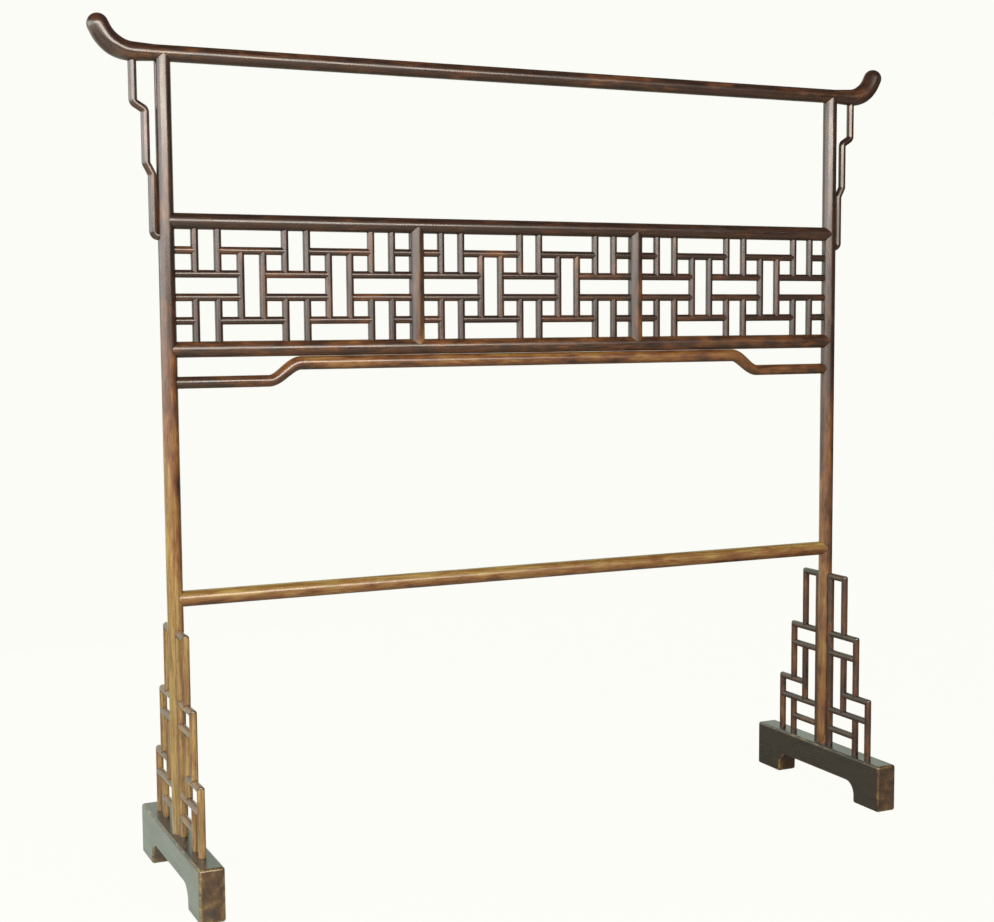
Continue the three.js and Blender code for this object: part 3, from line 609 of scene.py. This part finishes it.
# %% Finishes of frame, lattice and feet
frame_finish = rubbed_lacquer(
    "rubbed_brown_lacquer_on_elm_frame", "3e200f", "221007", "804f24", "b09556", "866830")
lattice_finish = rubbed_lacquer(
    "rubbed_brown_lacquer_on_elm_lattice", "3c1f11", "201009", "764620", "b09256", "80622f")
foot_finish = rubbed_lacquer(
    "olive_black_lacquer_on_elm_feet", "2c2416", "1a150c", "56391f", "93804c", "6b5a2e",
    edge_wear=0.9)
print("finishes:", [m.name for m in (frame_finish, lattice_finish, foot_finish)])

# %% [markdown]
# ## Making a piece
# Each piece of wood is one object: the lines go in, the tree lays the skin, and the result is taken
# over as a plain mesh. The object sits at the origin because its place is in its points. The inputs
# of the tree are set by their identifiers before the object is evaluated for the first time.
# A piece may lean its wear towards one side: partly real wear where it is touched more, and
# partly painted light on the side that faces the lamps, with painted shade on the other side.

# %% From lines to a finished piece
def ready(piece, nodes):
    """Hands a finished piece over to the frame."""
    bpy.context.scene.collection.objects.link(piece)
    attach(piece, "root")
    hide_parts(*nodes)


def lean_wear_and_light(mesh, wear_and_light_lean):
    """Raises wear on one side and lowers it opposite, as wear and as painted light and shade."""
    worn = mesh.attributes["worn"].data
    for vertex in mesh.vertices:
        worn[vertex.index].value *= 1 + vertex.normal.dot(wear_and_light_lean)


def round_piece(name, bars, finish, nodes, sides, wear_and_light_lean):
    """One piece, or one glued-up frame, of round bars."""
    source = bpy.data.objects.new(name + "_lines", line_mesh(name, bars))
    bpy.context.scene.collection.objects.link(source)
    modifier = source.modifiers.new("round_bars", "NODES")
    modifier.node_group = bars_tree
    for label, value in (("Sides", sides), ("Handwork", HANDWORK), ("Seed", SEED),
                         ("Finish", finish)):
        modifier[BARS_INPUTS[label]] = value
    bpy.context.view_layer.update()
    graph = bpy.context.evaluated_depsgraph_get()
    seen = source.evaluated_get(graph)
    mesh = bpy.data.meshes.new_from_object(seen, preserve_all_data_layers=True, depsgraph=graph)
    source.modifiers.remove(modifier)
    bpy.data.objects.remove(source)
    for used in [*VECTORS, "wood_origin", *(n for n in NUMBERS.values() if n != "worn")]:
        mesh.attributes.remove(mesh.attributes[used])
    lean_wear_and_light(mesh, wear_and_light_lean)
    mesh.name = name
    piece = bpy.data.objects.new(name, mesh)
    ready(piece, nodes)
    return piece


print("attributes that the tree uses up:", len(VECTORS) + len(NUMBERS))

# %% Thick and thin pieces
THICK_SIDES, THIN_SIDES = 48, 28  # a thick bar's outline is larger in the picture


def told(piece):
    """Prints the size of a piece."""
    spans = [[v.co[i] for v in piece.data.vertices] for i in range(3)]
    size = [round((max(span) - min(span)) / MM, 1) for span in spans]
    print(piece.name, len(piece.data.polygons), "faces,", size, "mm")


def thick_piece(name, one_bar, wear_and_light_lean, sides=THICK_SIDES):
    """A member of the frame, made of one bar."""
    told(round_piece(name + "_wood", [one_bar], frame_finish, [name], sides, wear_and_light_lean))


def thin_piece(name, bars, nodes, sides=THIN_SIDES, wear_and_light_lean=Vector()):
    told(round_piece(name + "_wood", bars, lattice_finish, nodes, sides, wear_and_light_lean))


print("sides of a thick and a thin bar:", THICK_SIDES, THIN_SIDES)

# %% [markdown]
# ## The crest rail
# It runs over both posts. Beyond them each end grows thicker, sweeps upwards and is rounded off
# like a thumb, so that a robe's collar doesn't catch. The sweep is an arc, and the rounding comes
# from rings that shrink like the circles on a globe.

# %% Half a crest rail
OVERHANG, SWEEP_RADIUS, SWEEP, TIP_LENGTH = 57, 68.5, 62.5, 12  # millimetres, the sweep in degrees
TIP_RADIUS, SWELL_START = 21.25, 14
SWELL_END = OVERHANG + SWEEP_RADIUS * math.radians(SWEEP) / 2
SWEEP_STEPS, DOME_STEPS = 14, 12
POLE = 0.1  # radius of the last ring, so that it never closes on a single point


def clamp(value):
    return min(1.0, max(0.0, value))


def arc(centre_x, centre_z, radius, from_degrees, to_degrees, steps):
    places = []
    for k in range(steps + 1):
        turn = math.radians(from_degrees + (to_degrees - from_degrees) * k / steps)
        places.append((centre_x + radius * math.cos(turn), centre_z + radius * math.sin(turn)))
    return places


def crest_radius(distance):
    """Radius of the rail in millimetres, at a distance beyond the post along its axis."""
    share = clamp((distance - SWELL_START) / (SWELL_END - SWELL_START))
    return FRAME_R / MM + (TIP_RADIUS - FRAME_R / MM) * share


def crest_half():
    """Places and radii in millimetres from the post to the tip, on the right."""
    post, level = POST_X / MM, CREST_Z / MM
    places = [(post + SWELL_START, level), *arc(
        post + OVERHANG, level + SWEEP_RADIUS, SWEEP_RADIUS, -90, -90 + SWEEP, SWEEP_STEPS)]
    radii = [crest_radius(SWELL_START)]
    radii += [crest_radius(OVERHANG + SWEEP_RADIUS * math.radians(SWEEP) * k / SWEEP_STEPS)
              for k in range(SWEEP_STEPS + 1)]
    heading = (math.cos(math.radians(SWEEP)), math.sin(math.radians(SWEEP)))
    end = places[-1]
    for k in range(DOME_STEPS + 1):
        turn = math.pi / 2 * k / DOME_STEPS
        run = TIP_LENGTH + TIP_RADIUS * math.sin(turn)
        places.append((end[0] + heading[0] * run, end[1] + heading[1] * run))
        radii.append(max(TIP_RADIUS * math.cos(turn), POLE))
    return places, radii


half_places, half_radii = crest_half()
print("the tip is", round(half_places[-1][1] - CREST_Z / MM, 1), "mm above the rail's axis")

# %% [markdown]
# The left half mirrors the right one. The top of the rail is rubbed more than its underside, and
# the same lean paints light on the top and shade underneath.

# %% Crest rail
# How much the wear leans to the top, which also paints light there and shade beneath.
CREST_WEAR, CREST_WEAR_AND_LIGHT_LEAN = 0.16, 0.5


def at(x, z, y=0.0):
    """A point from millimetres."""
    return Vector((x, y, z)) * MM


crest_points = [at(-x, z) for x, z in reversed(half_places)] + [at(x, z) for x, z in half_places]
crest_radii = [r * MM for r in half_radii[::-1] + half_radii]
thick_piece("crest_rail", bar(crest_points, crest_radii, FREE, FREE, CREST_WEAR), Z * CREST_WEAR_AND_LIGHT_LEAN)

# %% [markdown]
# ## The posts and the level members
# The posts end under the crest rail, hollowed over it, and stand flat on the feet. Low down, where
# the rack is carried and swept around, they are worn the most, the left post more than the right
# one. Both are lighter on their left sides, towards the lamps: partly wear, partly painted light,
# with painted shade on their right sides.

# %% Posts
FOOT_TOP = 108 * MM
WEAR_TOP, WEAR_DEPTH = 1.25, 0.75  # the wear grows from this height downwards, over this distance


def post_wear(low, high):
    """Wear that grows towards the floor."""
    return lambda place: high + (low - high) * clamp((WEAR_TOP - place.z) / WEAR_DEPTH)


# Each row: the post, its X, its wear low down and high up, and how much the wear and the painted
# light lean to the left.
for side, x, low, high, wear_and_light_lean in (("left", -POST_X, 0.82, 0.12, 0.4),
                                 ("right", POST_X, 0.4, 0.1, 0.5)):
    line = [Vector((x, 0, FOOT_TOP)), Vector((x, 0, CREST_Z))]
    thick_piece(side + "_post", bar(line, FRAME_R, FLAT, scribed(FRAME_R, X),
                                    post_wear(low, high)), -X * wear_and_light_lean)

# %% [markdown]
# The rails and the bottom stretcher are hollowed over the posts. The hems of robes have rubbed the
# bottom stretcher nearly bare. The tops of all three are lighter than their undersides: partly
# wear, partly painted light on top and painted shade beneath.

# %% Rails and bottom stretcher
RAIL_WEAR_AND_LIGHT_LEAN = 0.4


def along_x(left, right):
    """Wear that changes from the left end of the rack to the right."""
    return lambda place: left + (right - left) * (place.x + POST_X) / (2 * POST_X)


for name, z, worn in (("panel_upper_rail", UPPER_RAIL_Z, along_x(0.06, 0.12)),
                      ("panel_lower_rail", LOWER_RAIL_Z, along_x(0.28, 0.28)),
                      ("bottom_stretcher", STRETCHER_Z, along_x(0.66, 0.58))):
    line = [Vector((-POST_X, 0, z)), Vector((POST_X, 0, z))]
    over_post = scribed(FRAME_R, Z)
    thick_piece(name, bar(line, FRAME_R, over_post, over_post, worn), Z * RAIL_WEAR_AND_LIGHT_LEAN)

# %% [markdown]
# Two stiles part the panel in three. They are as thick as the rails and hollowed over them.

# %% Stiles between the lattices
STILE_WEAR, STILE_WEAR_GROWTH, STILE_LEAN = 0.1, 0.3, 0.8


def stile_wear(place):
    """Wear that grows from the upper rail to the lower one."""
    return STILE_WEAR + STILE_WEAR_GROWTH * (UPPER_RAIL_Z - place.z) / PANEL_HEIGHT


for side, x in (("left", -PANEL_WIDTH / 2), ("right", PANEL_WIDTH / 2)):
    line = [Vector((x, 0, LOWER_RAIL_Z)), Vector((x, 0, UPPER_RAIL_Z))]
    over_rail = scribed(FRAME_R, X)
    thick_piece(f"panel_{side}_stile", bar(line, FRAME_R, over_rail, over_rail, stile_wear),
                X * STILE_LEAN)

# %% [markdown]
# ## The humpback stretcher
# It lies close under the panel, and near each post it steps down in a smooth double bend, which
# gives it its name. It was sawn from a wide plank, not bent, and it was left thicker where it runs
# raised. Its middle is worn to honey brown, and towards the posts it stays dark, most of all at the
# left. The bend is an S that sets out and arrives level.

# %% Line of the humpback stretcher
HUMP_R, CROWN_R = 12.25 * MM, 14 * MM
HUMP_TOP_Z = LOWER_RAIL_Z - FRAME_R - GAP - CROWN_R
HUMP_END_Z = HUMP_TOP_Z - 35.5 * MM
LOW_LENGTH, RAMP_LENGTH, RAMP_STEPS = 205 * MM, 68 * MM, 12


def hump_half():
    """Points and radii of the right half, from the top of the rise to the post."""
    points, radii = [], []
    for k in range(RAMP_STEPS + 1):
        t = k / RAMP_STEPS
        eased = t * t * (3 - 2 * t)
        x = POST_X - LOW_LENGTH - RAMP_LENGTH * (1 - t)
        points.append(Vector((x, 0, HUMP_TOP_Z + (HUMP_END_Z - HUMP_TOP_Z) * eased)))
        radii.append(CROWN_R + (HUMP_R - CROWN_R) * eased)
    return points + [Vector((POST_X, 0, HUMP_END_Z))], radii + [HUMP_R]


right_half, right_radii = hump_half()
left_half = [Vector((-p.x, 0, p.z)) for p in reversed(right_half)]
print("the stretcher drops by", round((HUMP_TOP_Z - HUMP_END_Z) / MM, 1), "mm")

# %% Humpback stretcher
HUMP_SIDES, HUMP_WEAR_AND_LIGHT_LEAN = 40, 0.3
HUMP_WEAR, LEFT_LOSS, RIGHT_LOSS = 0.46, 0.45, 0.2  # in the middle, and what is less at each post
LOSS_START, LOSS_LENGTH = 0.5, 0.3  # where it grows less, as metres from the middle


def hump_wear(place):
    """Wear of the middle, which grows less towards the posts."""
    loss = LEFT_LOSS if place.x < 0 else RIGHT_LOSS
    return HUMP_WEAR - loss * max(0.0, (abs(place.x) - LOSS_START) / LOSS_LENGTH)


# Its top is made lighter and its underside darker: wear, and painted light and painted shade.
thick_piece("humpback_stretcher", bar(left_half + right_half, right_radii[::-1] + right_radii,
                                      scribed(FRAME_R, Z), scribed(FRAME_R, Z), hump_wear),
            Z * HUMP_WEAR_AND_LIGHT_LEAN, HUMP_SIDES)

# %% [markdown]
# ## The hanging spandrels
# Under each end of the crest rail a thin bar comes down and steps in towards the post twice, then
# turns into its side. Its line is a row of corners, each rounded with the same radius. What would
# lie inside the hollow of the joint with the post is left out.

# %% A line with rounded corners
FINEST_TURN = math.radians(9)


def rounded_line(corners, bend):
    """Points along a line through 2-D corners, with an arc at each corner between the ends."""
    places = [Vector(corners[0])]
    for before, middle_corner, after in zip(corners, corners[1:], corners[2:]):
        arriving = (Vector(middle_corner) - Vector(before)).normalized()
        leaving = (Vector(after) - Vector(middle_corner)).normalized()
        turn = arriving.angle(leaving)
        inward = (leaving - arriving * arriving.dot(leaving)).normalized()
        start = Vector(middle_corner) - arriving * bend * math.tan(turn / 2)
        steps = math.ceil(turn / FINEST_TURN)
        for k in range(steps + 1):
            angle = turn * k / steps
            places.append(start + arriving * bend * math.sin(angle)
                          + inward * bend * (1 - math.cos(angle)))
    return places + [Vector(corners[-1])]


print("points on a rounded corner:", math.ceil(math.pi / 2 / FINEST_TURN) + 1)

# %% Hanging spandrels
HANGER_R, HANGER_SIDES, HANGER_WEAR = 8.5 * MM, 32, 0.14
OUTER, MIDDLE, INNER = 59, 36.3, 25.05  # millimetres from the post's axis
FIRST_DROP, FIRST_FALL, SECOND_DROP, SECOND_FALL, END_DROP = 104, 14, 225, 22, 355.7
BEND = 9.5


def hanger_line(turn):
    """Points of a hanging spandrel; `turn` is 1 at the right post and -1 at the left one."""
    crest_z = CREST_Z / MM
    first, second, foot = crest_z - FIRST_DROP, crest_z - SECOND_DROP, crest_z - END_DROP
    line = rounded_line([
        (OUTER, crest_z), (OUTER, first + FIRST_FALL / 2), (MIDDLE, first - FIRST_FALL / 2),
        (MIDDLE, second + SECOND_FALL / 2), (INNER, second - SECOND_FALL / 2), (INNER, foot),
        (0, foot)], BEND)
    clear = (FRAME_R + GAP + CLEAR / 2) / MM
    line = [place for place in line[:-1] if place.x > clear] + [line[-1]]
    return [at(turn * (POST_X / MM + place.x), place.y) for place in line]


crest_at_hanger = crest_radius(OUTER) * MM
for side, turn in (("left", -1), ("right", 1)):
    name = side + "_hanging_spandrel"
    thin_piece(name, [bar(hanger_line(turn), HANGER_R, scribed(crest_at_hanger, X),
                          scribed(FRAME_R, Z), HANGER_WEAR)], [name], HANGER_SIDES)

# %% [markdown]
# ## The lattices
# Each of the three panels holds the same lattice of thin bars. They lie on a square grid and weave
# like basketwork: pairs of uprights and pairs of level bars in turn, each pair stopped by the next.
# A table lists each bar by its columns and rows about the middle of the panel; the tree makes all
# ninety bars. A bar is hollowed over thin neighbours and over the thicker frame.

# %% Bars of one lattice
FRAME_COLUMN = PANEL_WIDTH / 2 / PITCH
FRAME_ROW = PANEL_HEIGHT / 2 / PITCH


def level_bar(row, first, last):
    return ((first, row), (last, row))


def upright_bar(column, first, last):
    return ((column, first), (column, last))


def lattice_table():
    """Every bar of a panel as a pair of grid places."""
    table = []
    for s in (-1, 1):
        table += [upright_bar(s * 1.5, -1.5, 1.5), upright_bar(s * 2.5, -1.5, 1.5)]
        table += [level_bar(-1.5, s * 0.5, s * 3.5), level_bar(1.5, s * 0.5, s * 3.5)]
        for up in (-1, 1):
            table += [level_bar(up * 0.5, s * 2.5, s * FRAME_COLUMN)]
            table += [level_bar(up * 1.5, s * 4.5, s * FRAME_COLUMN)]
            for column in (3.5, 4.5, 0.5):
                table += [upright_bar(s * column, up * 0.5, up * FRAME_ROW)]
    for up in (-1, 1):
        table += [level_bar(up * 0.5, -1.5, 1.5)]
    return table


print("bars in a lattice:", len(lattice_table()))

# %% Three lattices
LATTICE_WEAR = (0.0, 0.28)
LATTICE_PARTS = ("left_ring", "right_ring", "upper_left_corner", "lower_left_corner",
                 "upper_centre", "lower_centre", "upper_right_corner", "lower_right_corner")


def lattice_bar(centre, first, last, worn):
    """A bar of the table in its place, with both ends scribed."""
    ends = []
    for column, row in (first, last):
        across = X if first[0] == last[0] else Z
        in_frame = abs(column) == FRAME_COLUMN or abs(row) == FRAME_ROW
        ends.append(scribed(FRAME_R if in_frame else LATTICE_R, across))
    points = [Vector((centre + c * PITCH, 0, PANEL_Z + r * PITCH)) for c, r in (first, last)]
    return bar(points, LATTICE_R, ends[0], ends[1], worn)


for panel, centre in (("left", -PANEL_WIDTH), ("middle", 0.0), ("right", PANEL_WIDTH)):
    chance = random.Random(panel)
    bars = [lattice_bar(centre, *places, chance.uniform(*LATTICE_WEAR))
            for places in lattice_table()]
    thin_piece(panel + "_lattice", bars, [f"{panel}_lattice_{part}" for part in LATTICE_PARTS])

# %% [markdown]
# ## The standing spandrels
# In front of and behind each post a spandrel climbs in three steps. Its outer corners are mitred
# and a little rounded from use, and the ties between are hollowed over the uprights. The bars are
# again a table: places are given by distance from the post's axis and height, and a letter says how
# each end is joined.

# %% Bars of one standing spandrel
SPANDREL_R = 7.75 * MM
STILE = 24.3
COLUMNS = (77, 124, 171)
ROWS = {1: 149, 2: 195.8, 3: 242.6, 5: 336.2, 6: 383, 9: 523.4}
FLOOR = FOOT_TOP / MM
# Ends: "o" over a neighbour, "f" flat on the foot, "d" mitred with a bar that goes down, "i" mitred
# with a bar that goes in towards the post, "u" mitred with a bar that goes outwards.
SPANDREL_TABLE = [
    ((STILE, FLOOR, "f"), (STILE, ROWS[9], "u")),
    ((STILE, ROWS[9], "d"), (COLUMNS[0], ROWS[9], "d")),
    ((COLUMNS[0], ROWS[6], "o"), (COLUMNS[0], ROWS[9], "i")),
    ((STILE, ROWS[6], "o"), (COLUMNS[1], ROWS[6], "d")),
    ((STILE, ROWS[5], "o"), (COLUMNS[1], ROWS[5], "o")),
    ((COLUMNS[1], ROWS[3], "o"), (COLUMNS[1], ROWS[6], "i")),
    ((COLUMNS[0], ROWS[2], "o"), (COLUMNS[0], ROWS[5], "o")),
    ((COLUMNS[0], ROWS[3], "o"), (COLUMNS[2], ROWS[3], "d")),
    ((STILE, ROWS[2], "o"), (COLUMNS[2], ROWS[2], "o")),
    ((COLUMNS[2], FLOOR, "f"), (COLUMNS[2], ROWS[3], "i")),
    ((COLUMNS[1], FLOOR, "f"), (COLUMNS[1], ROWS[2], "o")),
    ((STILE, ROWS[1], "o"), (COLUMNS[1], ROWS[1], "o")),
]
print("bars in a standing spandrel:", len(SPANDREL_TABLE))

# %% Four standing spandrels
SPANDREL_PARTS = ("top_frame", "middle_frame", "outer_frame", "base_rung")


def spandrel_bars(x, forward, worn):
    """All bars of a spandrel; `forward` is -1 in front of the post and 1 behind it."""
    outwards = Y * forward
    turns = {"d": -Z, "i": -outwards, "u": outwards}
    bars = []
    for first, last in SPANDREL_TABLE:
        across = Y if first[0] == last[0] else Z
        ends = {"o": scribed(SPANDREL_R, across), "f": FLAT}
        ends.update({letter: mitred(way) for letter, way in turns.items()})
        points = [Vector((x, forward * d * MM, z * MM)) for d, z, _ in (first, last)]
        bars.append(bar(points, SPANDREL_R, ends[first[2]], ends[last[2]], worn))
    return bars


# Each row: the post, its X, the wear, and how much the wear and the painted light lean to the
# front, which faces the lamp.
for side, x, worn, wear_and_light_lean in (("left", -POST_X, 0.5, 0.7), ("right", POST_X, 0.22, 0.5)):
    for face, forward in (("front", -1), ("rear", 1)):
        name = f"{side}_{face}_spandrel"
        thin_piece(name, spandrel_bars(x, forward, worn),
                   [f"{name}_{part}" for part in SPANDREL_PARTS], wear_and_light_lean=-Y * wear_and_light_lean)

# %% [markdown]
# ## The feet
# Each foot is a planed block with an arch sawn out under its middle, so that it stands on two pads.
# It is no round bar, so it is built from its side view: the outline is filled, pushed out to its
# width, and all its edges are rounded with a bevel. Points on the rounded edges get an "edge" value
# that the finish reads, because lacquer rubs off an edge first.

# %% Outline of a foot
FOOT_LENGTH, FOOT_WIDTH, FOOT_HEIGHT = 486 * MM, 52 * MM, FOOT_TOP
ARCH_LENGTH, ARCH_HEIGHT, ARCH_RADIUS = 300 * MM, 47 * MM, 30 * MM
ARCH_STEPS = 12


def foot_outline():
    """The side view, as places along Y and Z."""
    end, arch = FOOT_LENGTH / 2, ARCH_LENGTH / 2
    turn, spring = arch - ARCH_RADIUS, ARCH_HEIGHT - ARCH_RADIUS
    return [(-end, FOOT_HEIGHT), (-end, 0), (-arch, 0),
            *arc(-turn, spring, ARCH_RADIUS, 180, 90, ARCH_STEPS),
            *arc(turn, spring, ARCH_RADIUS, 90, 0, ARCH_STEPS),
            (arch, 0), (end, 0), (end, FOOT_HEIGHT)]


print("corners in the outline:", len(foot_outline()))

# %% Solid of a foot
FOOT_EDGE = 6 * MM
SHARP = math.radians(30)


def foot_solid(x):
    """The block with its edges rounded. Returns the mesh data and the sharp edges it had before."""
    solid = bmesh.new()
    corners = [solid.verts.new((x - FOOT_WIDTH / 2, y, z)) for y, z in foot_outline()]
    face = solid.faces.new(corners)
    pushed = bmesh.ops.extrude_face_region(solid, geom=[face])["geom"]
    moving = [part for part in pushed if isinstance(part, bmesh.types.BMVert)]
    bmesh.ops.translate(solid, verts=moving, vec=(FOOT_WIDTH, 0, 0))
    bmesh.ops.recalc_face_normals(solid, faces=solid.faces)
    sharp = [e for e in solid.edges if e.calc_face_angle() > SHARP]
    lines = [(e.verts[0].co.copy(), e.verts[1].co.copy()) for e in sharp]
    bmesh.ops.bevel(solid, geom=sharp, offset=FOOT_EDGE, segments=6, profile=0.5, affect="EDGES")
    return solid, lines


print("radius of the foot's edges:", FOOT_EDGE / MM, "mm")

# %% [markdown]
# A point's "edge" value falls from 1 on the rounding to 0 where the flat begins, by its distance
# from the sharp edge that was there before. Boots and brooms have worn the ends of the feet.

# %% Feet
END_WEAR = 0.35
SMOOTH_AREA = 1200 * MM * MM  # smaller faces are shaded smooth


def gap_to(place, line):
    """Distance from a point to a straight piece of line."""
    start, run = line[0], line[1] - line[0]
    share = clamp((place - start).dot(run) / run.length_squared)
    return (place - start - run * share).length


def foot_piece(side, x, worn):
    """One foot, with the attributes that the finish reads."""
    solid, lines = foot_solid(x)
    for face in solid.faces:
        face.smooth = face.calc_area() < SMOOTH_AREA
    mesh = bpy.data.meshes.new(side + "_foot_wood")
    solid.to_mesh(mesh)
    solid.free()
    near, far = FOOT_EDGE * (math.sqrt(2) - 1), FOOT_EDGE
    gaps = [min(gap_to(v.co, line) for line in lines) for v in mesh.vertices]
    store(mesh, "edge", "FLOAT", [clamp((far - gap) / (far - near)) for gap in gaps])
    origin = Vector((x * 3, 0.4, 1.7))
    store(mesh, "wood", "FLOAT_VECTOR",
          [Vector((v.co.x, v.co.z, v.co.y)) + origin for v in mesh.vertices])
    store(mesh, "worn", "FLOAT", [worn + END_WEAR * abs(v.normal.y) for v in mesh.vertices])
    store(mesh, "seam", "FLOAT", [1.0] * len(mesh.vertices))
    mesh.materials.append(foot_finish)
    piece = bpy.data.objects.new(mesh.name, mesh)
    ready(piece, [side + "_foot"])
    return piece


for side, x, worn in (("left", -POST_X, 0.12), ("right", POST_X, 0.02)):
    told(foot_piece(side, x, worn))

# %% [markdown]
# ## The studio
# The photograph shows the rack in front of white paper, with hardly a shadow. White light from all
# around would give that too, but it would also wash out the dark lacquer. Here one sheet of paper
# stands behind the rack and another lies under it, and the light path tells their material what
# kind of ray asks: the camera sees white paper, a glossy ray sees bright paper with a slight green
# tint, which the lacquer mirrors, and all other light meets pale matt paper.

# %% White paper
PAPER, PAPER_IN_GLOSS, MATT_PAPER = colour("fcfcf7"), colour("e3efdd"), colour("b8b5ab")
RIGHT_FADE, LEFT_FADE = 0.1, 0.3  # metres over which the bright paper begins at its edges


def white_paper(name, share, left, right):
    """Paper of which the camera sees that share as white, bright in gloss from left to right."""
    material, tree = empty_material(name)
    rays = add(tree, "ShaderNodeLightPath")
    place = add(tree, "ShaderNodeTexCoord").outputs["Object"]
    along_rack = add(tree, "ShaderNodeSeparateXYZ", {0: place}).outputs["X"]
    between = maths(tree, "MULTIPLY", ramp(tree, along_rack, right, right - RIGHT_FADE),
                    ramp(tree, along_rack, left, left + LEFT_FADE))
    mirrored = maths(tree, "MULTIPLY", rays.outputs["Is Glossy Ray"], between)
    seen = maths(tree, "MULTIPLY", rays.outputs["Is Camera Ray"], share)
    matt = add(tree, "ShaderNodeBsdfDiffuse", {"Color": MATT_PAPER})
    bright = add(tree, "ShaderNodeEmission", {
        "Color": mix(tree, rays.outputs["Is Glossy Ray"], PAPER, PAPER_IN_GLOSS),
        "Strength": 1 / share})
    paper = add(tree, "ShaderNodeMixShader", {
        0: maths(tree, "ADD", seen, mirrored), 1: matt.outputs[0], 2: bright.outputs[0]})
    add(tree, "ShaderNodeOutputMaterial", {"Surface": paper.outputs[0]})
    return material


print("white paper in linear values:", [round(part, 3) for part in PAPER])

# %% [markdown]
# In gloss the floor is bright only in a strip beside the left foot, which mirrors it, since the
# undersides of the rails mirror nothing bright. A small part of it answers to light, so that the
# feet cast a faint shadow. The camera doesn't see the sheet behind the rack, only the white world
# beyond it, so the rack can be seen from the back as well.

# %% Floor and backdrop
FLOOR_SHARE, STRIP = 0.96, (-1.4, -0.75)
WHOLE_SHEET = (-6.4, 3.6)  # wider than the backdrop, so that it's bright up to its edges


def flat_sheet(name, x, y, z, material):
    """A plane of the studio between two places each way. It is no part of the rack."""
    mesh = bpy.data.meshes.new(name)
    mesh.from_pydata([(x[0], y[0], z[0]), (x[1], y[0], z[0]), (x[1], y[1], z[1]),
                      (x[0], y[1], z[1])], [], [(0, 1, 2, 3)])
    mesh.materials.append(material)
    sheet = bpy.data.objects.new(name, mesh)
    bpy.context.scene.collection.objects.link(sheet)
    print(name, "X", x, "Y", y, "Z", z)
    return sheet


flat_sheet("floor", (-30, 30), (-30, 30), (0, 0),
           white_paper("white_paper_floor", FLOOR_SHARE, *STRIP))
backdrop = flat_sheet("backdrop", (-6, 3.4), (2.6, 2.6), (0, 3.2),
                      white_paper("white_paper_backdrop", 1.0, *WHOLE_SHEET))
backdrop.visible_camera = False

# %% [markdown]
# The world is the rest of the room. Its light is weak, but the camera sees it as white paper.

# %% World
WORLD_LEVEL = 0.1
world = bpy.data.worlds.new("studio")
world.use_nodes = True
room = world.node_tree
room.nodes.clear()
camera_ray = add(room, "ShaderNodeLightPath").outputs["Is Camera Ray"]
dim = add(room, "ShaderNodeBackground", {"Color": colour("f2efe8"), "Strength": WORLD_LEVEL})
white = add(room, "ShaderNodeBackground", {"Color": PAPER, "Strength": 1.0})
either = add(room, "ShaderNodeMixShader", {0: camera_ray, 1: dim.outputs[0], 2: white.outputs[0]})
add(room, "ShaderNodeOutputWorld", {"Surface": either.outputs[0]})
bpy.context.scene.world = world
print("world level:", WORLD_LEVEL)

# %% [markdown]
# Two long low lamps light the rack like rows of windows. The stronger one is behind the camera: it
# draws the wide pale band on each upright and a narrow one on each rail, which fades towards the
# right where the row ends. The other is on the left and cooler, and it brightens the left sides.
# Neither shows in a picture that is taken from behind.

# %% Lamps
def soft_lamp(name, place, target, size, watts, tint):
    """A rectangular lamp that faces a point."""
    data = bpy.data.lights.new(name, "AREA")
    data.shape = "RECTANGLE"
    data.size, data.size_y = size
    data.energy = watts
    data.color = colour(tint)[:3]
    lamp = bpy.data.objects.new(name, data)
    way = Vector(target) - Vector(place)
    turned = way.to_track_quat("-Z", "Y").to_matrix().to_4x4()
    lamp.matrix_world = Matrix.Translation(Vector(place)) @ turned
    lamp.visible_camera = False
    bpy.context.scene.collection.objects.link(lamp)
    print(name, watts, "W at", place)


soft_lamp("left_window", (-3.6, -0.4, 1.8), (-0.8, -0.2, 1.2), (5.0, 1.8), 92, "f6f7f6")
soft_lamp("front_window", (-1.3, -4.2, 2.4), (-0.8, 0, 1.2), (6.8, 1.0), 275, "fff4e6")
bpy.context.scene.view_settings.view_transform = "Standard"
